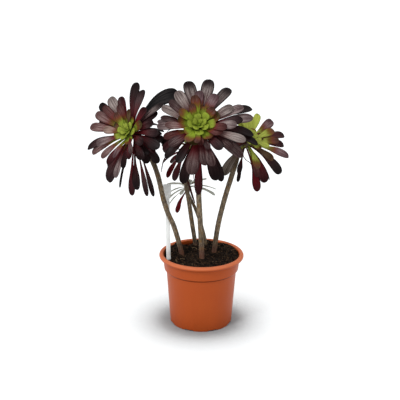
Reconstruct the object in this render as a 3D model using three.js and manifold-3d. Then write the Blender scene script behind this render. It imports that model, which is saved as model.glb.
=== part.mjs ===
// A tree aeonium in a nursery pot: five bare stems, each with a rosette of dark spoon-shaped leaves.
// Units are millimetres and +Z is up. The origin is on the pot's axis, on the surface it stands on.
// The side that shows the rosettes' faces looks to -Y, and +X is on its right.

import * as THREE from 'three';
import { mergeVertices } from 'three/addons/utils/BufferGeometryUtils.js';
import Module from 'manifold-3d';

const wasm = await Module();
wasm.setup();

// Pot: a rolled lip over an upright collar, then a step in to a tapered body
const POT_HEIGHT = 146;
const LIP_DIAMETER = 170;
const LIP_ROUND = 4.65;
const COLLAR_TOP_RADIUS = 77.3;
const COLLAR_FOOT_RADIUS = 74.5;
const COLLAR_FOOT_HEIGHT = 114;
const BODY_TOP_RADIUS = 70.3;
const BODY_TOP_HEIGHT = 110;
const BASE_RADIUS = 62.3;
const BASE_ROUND = 1.5;
const WALL = 1.8;
const FLOOR = 4.5;
const POT_SIDES = 40;

// Eight shallow channels under the pot's edge, each with a drain hole
const CHANNELS = 8;
const CHANNEL_START_RADIUS = 47;
const CHANNEL_LENGTH = 25;
const CHANNEL_FOOT_WIDTH = 23;
const CHANNEL_TOP_WIDTH = 17;
const CHANNEL_HEIGHT = 2.6;
const DRAIN_RADIUS = 4.5;
const DRAIN_CIRCLE_RADIUS = 53;
const DRAIN_SIDES = 12;

// Soil: its level at the front, the rings its surface is drawn with, its lumps, how it is heaped
// against the wall at the back and the sides, and a hollow at the back left
const SOIL_LEVEL = 136;
const SOIL_RINGS = [0, 16, 30, 44, 56, 66];
const SOIL_LUMPS = 1.6;
const SOIL_SMALL_LUMPS = 1;
const SOIL_HEAP = 9;
const SOIL_HEAP_SPAN = [28, 66];
const SOIL_HEAP_FRONT = [-15, 30];
const SOIL_HOLLOW = 11;
const SOIL_HOLLOW_PLACE = [-32, 68];
const SOIL_HOLLOW_RADIUS = 24;
const SOIL_RELIEF = 10;

// Every piece that touches another lies this far from it
const CLEARANCE = 0.3;

// Leaves: share of the full width at stations along the midrib, and how the blade is dished
const LEAF_OUTLINE = [[0, 0.18], [0.42, 0.5], [0.77, 1], [0.94, 0.78]];
const HEART_OUTLINE = [[0, 0.3], [0.5, 0.75], [0.82, 1]];
// Long leaves that hang have a stalk and a short blade
const HANGING_OUTLINE = [[0, 0.18], [0.46, 0.3], [0.8, 1], [0.94, 0.8]];
const HANGING_FROM = 0.95;
const ROOT_THICKNESS = 3.2;
const TIP_THICKNESS = 1.7;
const LEAF_DISH = 0.16;
const HEART_DISH = 0.22;
const LEAF_ROLL = 22;

// A leaf's lean away from its head's axis, in degrees, for an opening of 0 and of 1, and how far
// its outer and inner halves are drawn down where it hangs
const INNER_LEAN = [14, 92];
const OUTER_LEAN = [34, 112];
const INNER_LEAN_POWER = 0.8;
const OUTER_LEAN_POWER = 0.7;
const OUTER_DROOP = 1.5;
const INNER_DROOP = 0.375;
const DROOP_START = 0.45;

// Young leaves at a head's heart, which grow longer from the innermost to the outermost
const GOLDEN_ANGLE = 137.508;
const HEART_INNER_LENGTH = 13;
const HEART_ROOT_WIDTH = 3;
const HEART_WIDTH_SHARE = 0.47;
const HEART_OPENING = 0.46;

// Rosettes: the stem's leafy end, which all leaves of a head grow from
const CORE_RADIUS = 6.8;
const CORE_LENGTH = 38;
const CORE_SHAPE = [[-1, 0.85], [-0.6, 1], [-0.25, 0.9], [-0.05, 0.55]];
const CORE_POINT = 2;
const CORE_SIDES = 8;
const LEAF_ZONE = 26;
const ROOT_DEPTH = 4;
const ROOT_OFFSET = 3;

// Stems: thinner where they are buried, and the shares of their length where they reach their full
// radius and where they start to narrow towards the head
const STEM_SIDES = 8;
const STEM_STEPS = 14;
const STEM_BURIED_SHARE = 0.55;
const STEM_SOIL_SHARE = 0.98;
const STEM_SETTLES = [0.16, 0.4];
const STEM_NARROWS = [0.6, 1];
const STEM_TOP_SHARE = 0.84;
const STEM_APPROACH = 14;

const COLOURS = {
  pot: 0xae5232,
  soil: 0x1a120c,
  label: 0xd8deda,
  stem: 0x75634f,
  leaf: 0x33252a,
  paleLeaf: 0x74705f,
};

// Heads: the growing tip's place, how far the head leans from upright, the way it is turned
// (0 faces -Y, 90 faces +X), the count of young leaves at its heart and the longest one, and its size.
// Leaves: clock angle on the face seen from in front, length, opening (0 upright, 1 hanging) and width,
// and for a twisted one its roll. The last ones of a head fill in behind the others.
const HEADS = {
  left: {
    tip: [-146, -10, 398], lean: 58, turn: -36, heart: [14, 38], spin: 70, size: 0.95,
    leaves: [
      [0, 45, 0.3, 10], [0, 90, 0.6, 16, 15], [10, 148, 0.73, 28, 60], [20, 85, 0.85, 18], [30, 60, 0.5, 17],
      [35, 90, 0.6, 15], [40, 70, 0.6, 19], [45, 70, 0.75, 7], [50, 65, 0.75, 8], [55, 80, 0.85, 18],
      [90, 78, 0.65, 22], [95, 70, 0.7, 11], [95, 80, 0.85, 17], [105, 60, 0.7, 22], [115, 65, 0.85, 17],
      [130, 125, 1, 10], [135, 70, 0.4, 12], [140, 120, 1, 12], [155, 105, 0.95, 17], [168, 115, 1, 15],
      [185, 90, 0.7, 17], [190, 105, 0.9, 7], [207, 105, 0.8, 28], [220, 75, 0.6, 14], [230, 85, 0.8, 18],
      [235, 70, 0.5, 17], [245, 95, 0.65, 18], [255, 50, 0.3, 16], [255, 105, 0.65, 20], [265, 85, 0.5, 19],
      [280, 75, 0.55, 14], [285, 85, 0.5, 19], [300, 75, 0.4, 16], [300, 80, 0.85, 18], [300, 95, 0.55, 19],
      [315, 45, 0.25, 16], [315, 85, 0.5, 21], [331, 75, 0.5, 17], [335, 80, 0.85, 18],
      [350, 105, 0.6, 18, 30],
      [60, 60, 0.55, 18], [75, 70, 0.6, 18], [110, 55, 0.5, 18], [125, 65, 0.65, 18],
      [150, 60, 0.55, 16], [170, 70, 0.65, 15], [185, 60, 0.5, 13], [200, 75, 0.6, 16],
      [325, 60, 0.45, 16],
    ],
  },
  back: {
    tip: [-25, 56, 360], lean: 24, turn: 180, heart: [12, 30], spin: 30, size: 0.7,
    leaves: [
      [0, 60, 0.6, 17], [20, 100, 0.95, 15], [35, 90, 0.95, 14], [60, 58, 0.5, 16], [80, 62, 0.8, 17],
      [125, 58, 0.8, 17], [150, 50, 0.5, 15], [180, 46, 0.55, 15], [205, 50, 0.75, 16], [230, 58, 0.5, 16],
      [255, 62, 0.8, 17], [280, 60, 0.55, 16], [305, 62, 0.75, 17], [330, 58, 0.5, 16],
    ],
  },
  centre: {
    tip: [-7, -52, 421], lean: 50, turn: 0, heart: [18, 48], spin: 20, size: 1,
    leaves: [
      [0, 80, 0.85, 20], [12, 95, 0.5, 25], [29, 106, 0.62, 22], [30, 70, 0.4, 22], [45, 45, 0.3, 19],
      [45, 85, 0.85, 20], [50, 120, 0.67, 20], [63, 93, 0.55, 20], [72, 105, 0.6, 19], [75, 85, 0.85, 20],
      [75, 110, 0.7, 19], [80, 122, 0.73, 19], [95, 75, 0.45, 18], [114, 99, 0.5, 18], [115, 100, 0.65, 23],
      [120, 55, 0.35, 22], [140, 105, 0.9, 17], [150, 100, 0.85, 23], [160, 55, 0.5, 13],
      [160, 85, 0.6, 20], [175, 50, 0.4, 13], [180, 120, 0.94, 16], [185, 55, 0.3, 14], [190, 95, 0.65, 26],
      [205, 60, 0.3, 18], [205, 105, 0.85, 20], [245, 75, 0.5, 17], [250, 80, 0.7, 22], [260, 70, 0.4, 18],
      [285, 75, 0.55, 13], [285, 80, 0.6, 11], [285, 85, 0.85, 20], [295, 80, 0.5, 20], [300, 50, 0.3, 18],
      [315, 85, 0.85, 20], [325, 80, 0.45, 22], [335, 45, 0.25, 15], [347, 95, 0.55, 25],
      [350, 60, 0.3, 18],
      [0, 70, 0.45, 18], [60, 75, 0.5, 18], [85, 85, 0.5, 18], [105, 60, 0.35, 17], [125, 80, 0.55, 20],
      [140, 70, 0.5, 20], [170, 80, 0.6, 20], [215, 80, 0.65, 18], [230, 75, 0.5, 18], [240, 85, 0.7, 18],
      [270, 80, 0.55, 18], [310, 75, 0.5, 18],
    ],
  },
  small: {
    tip: [-28, 66, 274], lean: 8, turn: 0, heart: [8, 14], spin: 10, size: 0.5,
    leaves: [
      [20, 45, 0.7, 9], [60, 20, 0.45, 6], [80, 40, 0.5, 8], [90, 60, 0.65, 6], [100, 60, 0.7, 10],
      [213, 60, 1, 11], [218, 50, 1, 9], [230, 25, 0.8, 8], [255, 60, 0.95, 5], [265, 55, 0.85, 8],
      [270, 50, 0.75, 5], [275, 45, 0.6, 7], [285, 35, 0.6, 8], [345, 45, 0.75, 9],
    ],
  },
  right: {
    tip: [98, 30, 374], lean: 50, turn: 42, heart: [11, 32], spin: 150, size: 0.9,
    leaves: [
      [0, 80, 0.85, 18], [25, 55, 0.5, 15], [30, 80, 0.85, 18], [40, 65, 0.5, 15], [60, 80, 0.85, 18],
      [65, 80, 0.55, 19], [85, 60, 0.45, 16], [85, 95, 0.6, 19], [105, 65, 0.5, 17], [125, 100, 0.75, 19, 50],
      [135, 85, 0.5, 21], [140, 90, 0.85, 7], [150, 40, 0.25, 12], [160, 55, 0.5, 18],
      [170, 85, 0.75, 21, 30], [175, 95, 0.95, 17, 40], [185, 70, 0.75, 17], [195, 60, 0.6, 18],
      [225, 75, 1, 9], [230, 60, 0.95, 12],
      [260, 90, 0.8, 19], [275, 60, 0.6, 18], [300, 65, 0.6, 18], [320, 75, 0.8, 18], [350, 45, 0.55, 16],
      [100, 85, 0.6, 18], [150, 60, 0.55, 18], [5, 50, 0.5, 17],
    ],
  },
};

// Stems: points along the middle from the buried end up, and the radius above the soil
const STEMS = {
  left: {
    radius: 5,
    points: [
      [-32, 14, 88], [-39, 11, 134], [-56, 2, 202], [-67, 2, 227],
      [-76, 3, 256], [-88, 10, 306], [-100, 17, 335],
    ],
  },
  back: {
    radius: 4.5,
    points: [[-12, 53, 88], [-12, 54, 134], [-20, 50, 192], [-27, 46, 243], [-32, 44, 274], [-28, 42, 300]],
  },
  centre: {
    radius: 5.3,
    points: [[1, -9, 88], [1, -9, 134], [-3, -9, 213], [-6, -9, 261], [-8, -9, 320]],
  },
  small: {
    radius: 3.6,
    points: [[14, 54, 88], [10, 56, 137], [-1, 58, 184], [-14, 60, 220]],
  },
  right: {
    radius: 5.2,
    points: [[24, 27, 88], [26, 27, 135], [33, 27, 194], [45, 28, 249], [59, 30, 299], [66, 32, 324]],
  },
};

// Label: a blank plastic stake that leans back behind the left stem, with a wider head
const LABEL_FOOT = [-65, -20, 113];
const LABEL_TOP = [-70, 28, 280];
const LABEL_THICKNESS = 1.2;
const LABEL_STAKE_WIDTH = 8.5;
const LABEL_HEAD_WIDTH = 16;
const LABEL_HEAD_LENGTH = 20;
const LABEL_SHOULDER_LENGTH = 6;
const LABEL_POINT_LENGTH = 10;

const radians = THREE.MathUtils.degToRad;
const mix = THREE.MathUtils.lerp;
const vector = (point) => new THREE.Vector3(...point);
const UPWARD = vector([0, 0, 1]);

function eased(value, from, to) {
  return THREE.MathUtils.smoothstep(value, from, to);
}

// An even spread of numbers from 0 to 1, the same on every run
function spread(index) {
  return (index * 0.7548776662) % 1;
}

function solidOf(geometry) {
  const bare = geometry.clone();
  bare.deleteAttribute('normal');
  bare.deleteAttribute('uv');
  const merged = mergeVertices(bare, 1e-4);
  const corners = merged.index.array;
  const triangles = [];
  for (let i = 0; i < corners.length; i += 3) {
    const [a, b, c] = [corners[i], corners[i + 1], corners[i + 2]];
    if (a !== b && b !== c && c !== a) triangles.push(a, b, c);
  }
  const vertProperties = Float32Array.from(merged.attributes.position.array);
  const triVerts = Uint32Array.from(triangles);
  return new wasm.Manifold(new wasm.Mesh({ numProp: 3, vertProperties, triVerts }));
}

// Joining many leaves can seal a speck of space between them, which counts as a body of its own
function largestPiece(solid) {
  return solid.decompose().reduce((largest, piece) => (piece.volume() > largest.volume() ? piece : largest));
}

function geometryOf(solid) {
  const mesh = solid.getMesh();
  const geometry = new THREE.BufferGeometry();
  geometry.setAttribute('position', new THREE.BufferAttribute(mesh.vertProperties, 3));
  geometry.setIndex(new THREE.BufferAttribute(mesh.triVerts, 1));
  geometry.computeVertexNormals();
  return geometry;
}

function subMesh(name, solid, colour, roughness) {
  const material = new THREE.MeshStandardMaterial({ color: colour, roughness, metalness: 0 });
  material.flatShading = true;
  const mesh = new THREE.Mesh(geometryOf(solid), material);
  mesh.name = name;
  return mesh;
}

// A closed skin over rings of points that run anticlockwise round the way the rings advance.
// Facets on both faces of a blade are split alike.
function loft(rings, tip) {
  const sides = rings[0].length;
  const points = rings.flat();
  const index = [];
  for (let row = 0; row + 1 < rings.length; row += 1) {
    for (let j = 0; j < sides; j += 1) {
      const a = row * sides + j;
      const b = row * sides + (j + 1) % sides;
      const c = b + sides;
      const d = a + sides;
      if (j % 2 === 0) index.push(a, b, d, b, c, d);
      else index.push(a, b, c, a, c, d);
    }
  }
  const last = (rings.length - 1) * sides;
  for (let j = 1; j + 1 < sides; j += 1) {
    index.push(0, j + 1, j);
    if (!tip) index.push(last, last + j, last + j + 1);
  }
  if (tip) {
    points.push(tip);
    for (let j = 0; j < sides; j += 1) index.push(last + j, last + (j + 1) % sides, points.length - 1);
  }
  const geometry = new THREE.BufferGeometry().setFromPoints(points);
  geometry.setIndex(index);
  return solidOf(geometry);
}

function turned(profile) {
  const geometry = new THREE.LatheGeometry(profile.map(([r, z]) => new THREE.Vector2(r, z)), POT_SIDES);
  return geometry.rotateX(Math.PI / 2);
}

// Radius of the pot's inside at a height between its floor and its lip
function innerRadius(height) {
  if (height <= BODY_TOP_HEIGHT) {
    return mix(BASE_RADIUS, BODY_TOP_RADIUS, height / BODY_TOP_HEIGHT) - WALL;
  }
  const collarTop = POT_HEIGHT - 2 * LIP_ROUND;
  const share = (height - COLLAR_FOOT_HEIGHT) / (collarTop - COLLAR_FOOT_HEIGHT);
  return mix(COLLAR_FOOT_RADIUS, COLLAR_TOP_RADIUS, Math.max(share, 0)) - WALL;
}

function lipProfile() {
  const centreRadius = LIP_DIAMETER / 2 - LIP_ROUND;
  const centreHeight = POT_HEIGHT - LIP_ROUND;
  const start = -Math.acos((COLLAR_TOP_RADIUS - centreRadius) / LIP_ROUND);
  const crest = Math.PI / 2;
  const points = [];
  for (let i = 0; i < 6; i += 1) points.push(mix(start, crest, i / 6));
  for (let i = 0; i <= 2; i += 1) points.push(mix(crest, Math.PI, i / 2));
  return points.map((angle) => [
    centreRadius + LIP_ROUND * Math.cos(angle),
    centreHeight + LIP_ROUND * Math.sin(angle),
  ]);
}

function potBody() {
  const outside = [
    [0, 0],
    [BASE_RADIUS - BASE_ROUND, 0],
    [BASE_RADIUS, BASE_ROUND],
    [BODY_TOP_RADIUS, BODY_TOP_HEIGHT],
    [COLLAR_FOOT_RADIUS, COLLAR_FOOT_HEIGHT],
    ...lipProfile(),
  ];
  const collarTop = POT_HEIGHT - 2 * LIP_ROUND;
  const inside = [
    [innerRadius(collarTop), collarTop],
    [innerRadius(COLLAR_FOOT_HEIGHT), COLLAR_FOOT_HEIGHT],
    [innerRadius(BODY_TOP_HEIGHT), BODY_TOP_HEIGHT],
    [innerRadius(FLOOR), FLOOR],
    [0, FLOOR],
  ];
  let body = solidOf(turned([...outside, ...inside]));
  for (let i = 0; i < CHANNELS; i += 1) {
    body = body.subtract(drainChannel((i + 0.5) * (2 * Math.PI / CHANNELS)));
  }
  return body;
}

function drainChannel(angle) {
  const outline = new THREE.Shape();
  outline.moveTo(-CHANNEL_FOOT_WIDTH / 2, -1);
  outline.lineTo(CHANNEL_FOOT_WIDTH / 2, -1);
  outline.lineTo(CHANNEL_TOP_WIDTH / 2, CHANNEL_HEIGHT);
  outline.lineTo(-CHANNEL_TOP_WIDTH / 2, CHANNEL_HEIGHT);
  const channel = new THREE.ExtrudeGeometry(outline, { depth: CHANNEL_LENGTH, bevelEnabled: false });
  channel.rotateX(Math.PI / 2);
  channel.translate(0, -CHANNEL_START_RADIUS, 0);
  const drain = new THREE.CylinderGeometry(DRAIN_RADIUS, DRAIN_RADIUS, 2 * FLOOR, DRAIN_SIDES);
  drain.rotateX(Math.PI / 2);
  drain.translate(0, -DRAIN_CIRCLE_RADIUS, FLOOR);
  channel.rotateZ(angle);
  drain.rotateZ(angle);
  return solidOf(channel).add(solidOf(drain));
}

// Height of the soil's surface: lumps, the heap at the wall and the hollow, within SOIL_RELIEF
function soilHeight(x, y) {
  const lumps = SOIL_LUMPS * Math.sin(x / 9 + 1) * Math.cos(y / 11);
  const smallLumps = SOIL_SMALL_LUMPS * Math.sin((x + 2 * y) / 7);
  const heap = SOIL_HEAP * eased(Math.hypot(x, y), ...SOIL_HEAP_SPAN) * eased(y, ...SOIL_HEAP_FRONT);
  const [hollowX, hollowY] = SOIL_HOLLOW_PLACE;
  const away = Math.hypot(x - hollowX, y - hollowY);
  const hollow = SOIL_HOLLOW * (1 - eased(away, 0, SOIL_HOLLOW_RADIUS));
  return SOIL_LEVEL + lumps + smallLumps + heap - hollow;
}

function soilBody() {
  const bottom = FLOOR + CLEARANCE;
  const edge = innerRadius(SOIL_LEVEL - SOIL_RELIEF) - CLEARANCE;
  const profile = [
    [0, bottom],
    [innerRadius(bottom) - CLEARANCE, bottom],
    [innerRadius(BODY_TOP_HEIGHT) - CLEARANCE, BODY_TOP_HEIGHT + CLEARANCE],
    [innerRadius(COLLAR_FOOT_HEIGHT) - CLEARANCE, COLLAR_FOOT_HEIGHT + CLEARANCE],
    [edge, SOIL_LEVEL],
    ...SOIL_RINGS.slice().reverse().map((radius) => [radius, SOIL_LEVEL]),
  ];
  const geometry = turned(profile);
  const place = geometry.attributes.position;
  for (let i = 0; i < place.count; i += 1) {
    if (place.getZ(i) > SOIL_LEVEL - 1) place.setZ(i, soilHeight(place.getX(i), place.getY(i)));
  }
  let body = solidOf(geometry);
  for (const name of Object.keys(STEMS)) body = body.subtract(stemBody(name, CLEARANCE));
  return body.subtract(labelBody(CLEARANCE));
}

// The label's outline lies in the plane of its width and its length, from the point up
function labelBody(grow) {
  const foot = vector(LABEL_FOOT);
  const rise = vector(LABEL_TOP).sub(foot);
  const length = rise.length();
  const stake = LABEL_STAKE_WIDTH / 2 + grow;
  const head = LABEL_HEAD_WIDTH / 2 + grow;
  const shoulder = length - LABEL_HEAD_LENGTH;
  const half = [
    [0, -3 * grow],
    [stake, LABEL_POINT_LENGTH],
    [stake, shoulder - LABEL_SHOULDER_LENGTH],
    [head, shoulder],
    [head, length],
  ];
  const outline = new THREE.Shape();
  half.forEach(([x, y], i) => (i ? outline.lineTo(x, y) : outline.moveTo(x, y)));
  half.slice(1).reverse().forEach(([x, y]) => outline.lineTo(-x, y));
  const depth = LABEL_THICKNESS + 2 * grow;
  const plate = new THREE.ExtrudeGeometry(outline, { depth, bevelEnabled: false });
  plate.translate(0, 0, -depth / 2);
  const along = rise.normalize();
  const across = new THREE.Vector3(1, 0, 0).projectOnPlane(along).normalize();
  const facing = across.clone().cross(along);
  const frame = new THREE.Matrix4().makeBasis(across, along, facing).setPosition(foot);
  return solidOf(plate.applyMatrix4(frame));
}

// The head's axis points out of its face; up and right are as seen by someone facing it
function headFrame(head) {
  const lean = radians(head.lean);
  const turn = radians(head.turn);
  const forward = vector([Math.sin(turn), -Math.cos(turn), 0]);
  const axis = forward.multiplyScalar(Math.sin(lean)).addScaledVector(UPWARD, Math.cos(lean));
  const right = UPWARD.clone().cross(axis).normalize();
  const up = axis.clone().cross(right).normalize();
  return { tip: vector(head.tip), axis, right, up };
}

// A leaf's midrib is a curve of three control points. It starts inside the core, lower for a leaf that
// opens more, and gravity draws the outer half of an open leaf down.
function leafMidrib(head, frame, [clock, length, opening]) {
  const turn = radians(clock);
  const outward = frame.up.clone().multiplyScalar(Math.cos(turn))
    .addScaledVector(frame.right, Math.sin(turn));
  const drawn = eased(opening, DROOP_START, 1);
  const heading = (degrees, droop) => {
    const lean = radians(degrees);
    return frame.axis.clone().multiplyScalar(Math.cos(lean))
      .addScaledVector(outward, Math.sin(lean))
      .addScaledVector(UPWARD, -droop * drawn)
      .normalize();
  };
  const inner = heading(mix(...INNER_LEAN, opening ** INNER_LEAN_POWER), INNER_DROOP);
  const outer = heading(mix(...OUTER_LEAN, opening ** OUTER_LEAN_POWER), OUTER_DROOP);
  const depth = (opening * LEAF_ZONE + ROOT_DEPTH) * head.size;
  const root = frame.tip.clone()
    .addScaledVector(frame.axis, -depth)
    .addScaledVector(outward, ROOT_OFFSET * head.size);
  const middle = root.clone().addScaledVector(inner, length / 2);
  const end = middle.clone().addScaledVector(outer, length / 2);
  const across = frame.axis.clone().cross(outward);
  return { curve: new THREE.QuadraticBezierCurve3(root, middle, end), across };
}

// Each section has a raised edge on both sides and a ridge above and below the midrib
function leafBody(midrib, width, roll, outline, dish) {
  const rings = outline.map(([station, share]) => {
    const centre = midrib.curve.getPoint(station);
    const along = midrib.curve.getTangent(station);
    const across = midrib.across.clone().projectOnPlane(along).normalize().applyAxisAngle(along, roll);
    const upward = along.clone().cross(across);
    const half = width * share / 2;
    const thick = mix(ROOT_THICKNESS, TIP_THICKNESS, station) / 2;
    const at = (side, rise) => centre.clone().addScaledVector(across, side).addScaledVector(upward, rise);
    return [at(-half, dish * half), at(0, -thick), at(half, dish * half), at(0, thick)];
  });
  return loft(rings, midrib.curve.getPoint(1));
}

// The stem's leafy end, flat below where the bare stem meets it
function coreBody(head, frame) {
  const rings = CORE_SHAPE.map(([height, share]) => {
    const centre = frame.tip.clone().addScaledVector(frame.axis, height * CORE_LENGTH * head.size);
    return Array.from({ length: CORE_SIDES }, (_, i) => {
      const angle = i * 2 * Math.PI / CORE_SIDES;
      const radius = CORE_RADIUS * head.size * share;
      return centre.clone()
        .addScaledVector(frame.right, radius * Math.cos(angle))
        .addScaledVector(frame.up, radius * Math.sin(angle));
    });
  });
  return loft(rings, frame.tip.clone().addScaledVector(frame.axis, CORE_POINT * head.size));
}

function rosetteBody(head) {
  const frame = headFrame(head);
  const pieces = [coreBody(head, frame)];
  head.leaves.forEach((leaf, i) => {
    const roll = radians(leaf[4] ?? LEAF_ROLL * (spread(i + 1) - 0.5));
    const outline = leaf[2] < HANGING_FROM ? LEAF_OUTLINE : HANGING_OUTLINE;
    pieces.push(leafBody(leafMidrib(head, frame, leaf), leaf[3], roll, outline, LEAF_DISH));
  });
  const [count, reach] = head.heart;
  for (let i = 0; i < count; i += 1) {
    const age = (i + 0.5) / count;
    const length = mix(HEART_INNER_LENGTH * head.size, reach, age);
    const leaf = [head.spin + i * GOLDEN_ANGLE, length, HEART_OPENING * age];
    const width = HEART_ROOT_WIDTH + HEART_WIDTH_SHARE * length;
    pieces.push(leafBody(leafMidrib(head, frame, leaf), width, 0, HEART_OUTLINE, HEART_DISH));
  }
  return largestPiece(wasm.Manifold.union(pieces));
}

// A bare stem: thin at its buried end, and square to the core at its top
function stemBody(name, grow) {
  const { radius, points } = STEMS[name];
  const head = HEADS[name];
  const frame = headFrame(head);
  const seat = CORE_LENGTH * head.size + CLEARANCE;
  const top = frame.tip.clone().addScaledVector(frame.axis, -seat);
  const approach = frame.tip.clone().addScaledVector(frame.axis, -seat - STEM_APPROACH * head.size);
  const route = new THREE.CatmullRomCurve3([...points.map(vector), approach, top]);
  const frames = route.computeFrenetFrames(STEM_STEPS, false);
  const topRadius = Math.min(radius, STEM_TOP_SHARE * CORE_RADIUS * head.size);
  const rings = [];
  for (let i = 0; i <= STEM_STEPS; i += 1) {
    const share = i / STEM_STEPS;
    const centre = route.getPointAt(share).addScaledVector(frames.tangents[i], i ? 0 : -grow);
    const buried = mix(STEM_BURIED_SHARE, STEM_SOIL_SHARE, eased(share, 0, STEM_SETTLES[0]));
    const settled = mix(buried, 1, eased(share, ...STEM_SETTLES));
    const size = mix(radius * settled, topRadius, eased(share, ...STEM_NARROWS)) + grow;
    rings.push(Array.from({ length: STEM_SIDES }, (_, j) => {
      const angle = j * 2 * Math.PI / STEM_SIDES;
      const offset = frames.normals[i].clone().multiplyScalar(size * Math.cos(angle))
        .addScaledVector(frames.binormals[i], size * Math.sin(angle));
      return centre.clone().add(i === STEM_STEPS ? offset.projectOnPlane(frame.axis) : offset);
    }));
  }
  return loft(rings);
}

const plant = new THREE.Group();
plant.add(subMesh('pot', potBody(), COLOURS.pot, 0.55));
plant.add(subMesh('soil', soilBody(), COLOURS.soil, 0.95));
plant.add(subMesh('plant_label', labelBody(0), COLOURS.label, 0.5));
for (const [name, head] of Object.entries(HEADS)) {
  plant.add(subMesh(`stem_${name}`, stemBody(name, 0), COLOURS.stem, 0.85));
  const colour = name === 'small' ? COLOURS.paleLeaf : COLOURS.leaf;
  plant.add(subMesh(`rosette_${name}`, rosetteBody(head), colour, 0.4));
}

export default plant;
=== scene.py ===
"""A potted tree aeonium: a nursery pot of soil with five bare stems, each under a rosette of dark leaves.

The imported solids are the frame, and the pieces made here stand for them with finer shapes and finishes.
Lengths in the tables are millimetres and angles are degrees, as in the part's own source.
Every mesh is in metres, with +Z up and the side that shows the rosettes' faces to -Y.
"""

import math

import bmesh
import bpy
from bpy.props import FloatProperty, FloatVectorProperty, IntProperty, PointerProperty
from bpy.types import Operator, Panel, PropertyGroup
from mathutils import Matrix, Vector


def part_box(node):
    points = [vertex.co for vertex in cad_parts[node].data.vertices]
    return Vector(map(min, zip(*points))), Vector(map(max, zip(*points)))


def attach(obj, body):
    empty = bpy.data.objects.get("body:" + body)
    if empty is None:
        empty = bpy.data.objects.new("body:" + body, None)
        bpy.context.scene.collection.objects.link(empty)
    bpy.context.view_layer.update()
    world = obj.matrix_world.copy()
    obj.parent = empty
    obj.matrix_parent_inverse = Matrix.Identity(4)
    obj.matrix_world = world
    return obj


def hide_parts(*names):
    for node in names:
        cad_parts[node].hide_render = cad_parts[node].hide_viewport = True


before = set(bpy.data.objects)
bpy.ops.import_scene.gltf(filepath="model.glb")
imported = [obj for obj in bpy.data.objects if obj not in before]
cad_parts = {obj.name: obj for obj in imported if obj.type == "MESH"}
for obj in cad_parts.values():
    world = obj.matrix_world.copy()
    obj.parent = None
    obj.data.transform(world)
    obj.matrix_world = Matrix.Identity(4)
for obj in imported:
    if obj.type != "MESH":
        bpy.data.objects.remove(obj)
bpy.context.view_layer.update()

bl_info = {
    "name": "Potted tree aeonium",
    "version": (1, 0, 0),
    "blender": (4, 5, 0),
    "location": "3D View > Sidebar > Aeonium",
    "description": "Makes a potted tree aeonium round its packed solids",
    "category": "Add Mesh",
}

MM = 0.001
UP = Vector((0, 0, 1))
RIGHTWARD = Vector((1, 0, 0))
# Multiples of this fall evenly between whole numbers
SPREAD_STEP = 0.7548776662
POT_LOW, POT_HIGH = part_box("pot")

# Pot: a rolled lip over an upright collar, then a step in to a tapered body
LIP_ROUND = 4.65
COLLAR_TOP_RADIUS = 77.3
COLLAR_FOOT_RADIUS = 74.5
COLLAR_FOOT_HEIGHT = 114
BODY_TOP_RADIUS = 70.3
BODY_TOP_HEIGHT = 110
BASE_RADIUS = 62.3
FLOOR = 4.5
BASE_ROUND = 1.5
STEP_ROUND = 1.2
INSIDE_ROUND = 1
FLOOR_ROUND = 1.5
CORNER_STEPS = 4
POT_SIDES = 144
LIP_STEPS = 18
POT_SHARP_ANGLE = 35

# Heights on the pot: where dust starts and ends inside the collar, a painted highlight along the lip's crest,
# and a painted shade line under the collar and one under the lip, each with its reach up and down
DUST_START = (118, 120)
DUST_END = (143, 136)
LIP_HIGHLIGHT_BAND = (139.5, 143)
PAINTED_SHADE_LINES = ((112.2, 3), (136.4, 2.6))

# Eight shallow channels under the pot's edge, each with a drain hole
CHANNELS = 8
CHANNEL_START_RADIUS = 47
CHANNEL_LENGTH = 25
CHANNEL_FOOT_WIDTH = 23
CHANNEL_TOP_WIDTH = 17
CHANNEL_HEIGHT = 2.6
DRAIN_RADIUS = 4.5
DRAIN_CIRCLE_RADIUS = 53
DRAIN_SIDES = 24

# Soil: its level at the front, its lumps, how it is heaped against the wall at the back and the sides,
# a hollow at the back left, and its gap to the pot
SOIL_LEVEL = 136
SOIL_LUMPS = 1.6
SOIL_LUMP_SPACING = (9, 11)
SOIL_SMALL_LUMPS = 1
SOIL_SMALL_LUMP_SPACING = 7
SOIL_HEAP = 9
SOIL_HEAP_SPAN = (28, 66)
SOIL_HEAP_FRONT = (-15, 30)
SOIL_HOLLOW = 11
SOIL_HOLLOW_PLACE = (-32, 68)
SOIL_HOLLOW_RADIUS = 24
SOIL_SIDES = 128
SOIL_RING_STEP = 1.9
SOIL_EDGE_RADIUS = 74.9
SOIL_GAP = 0.3

# What is strewn on the soil lies within a radius, where the surface faces up by this share. Densities are
# for a square metre
STREWN_RADIUS = 73
SOIL_FACING = 0.4
CRUMB_DENSITY = 46000.0
SMALLEST_CRUMB = 0.9
FIBRE_DENSITY = 7500.0
SHORTEST_FIBRE_SHARE = 0.25

# Leaves: share of the full width along the midrib, for a grown leaf and for one at a head's heart
LEAF_OUTLINE = [(0, 0.18), (0.2, 0.27), (0.42, 0.5), (0.62, 0.84), (0.77, 1.0), (0.9, 1.04), (1, 1.0)]
HEART_OUTLINE = [(0, 0.3), (0.25, 0.5), (0.5, 0.77), (0.82, 1.04), (1, 0.98)]
# The tip is rounded by a power of the way along, it closes to a small end, and stations crowd towards it
TIP_ROUNDING = 14.0
TIP_CLOSING = 0.998
TIP_CROWDING = 1.6
# Long leaves that hang have a stalk and a short blade
HANGING_OUTLINE = [(0, 0.18), (0.25, 0.21), (0.46, 0.31), (0.64, 0.68), (0.8, 1.0), (0.91, 1.05), (1, 1.02)]
HANGING_FROM = 0.95
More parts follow.
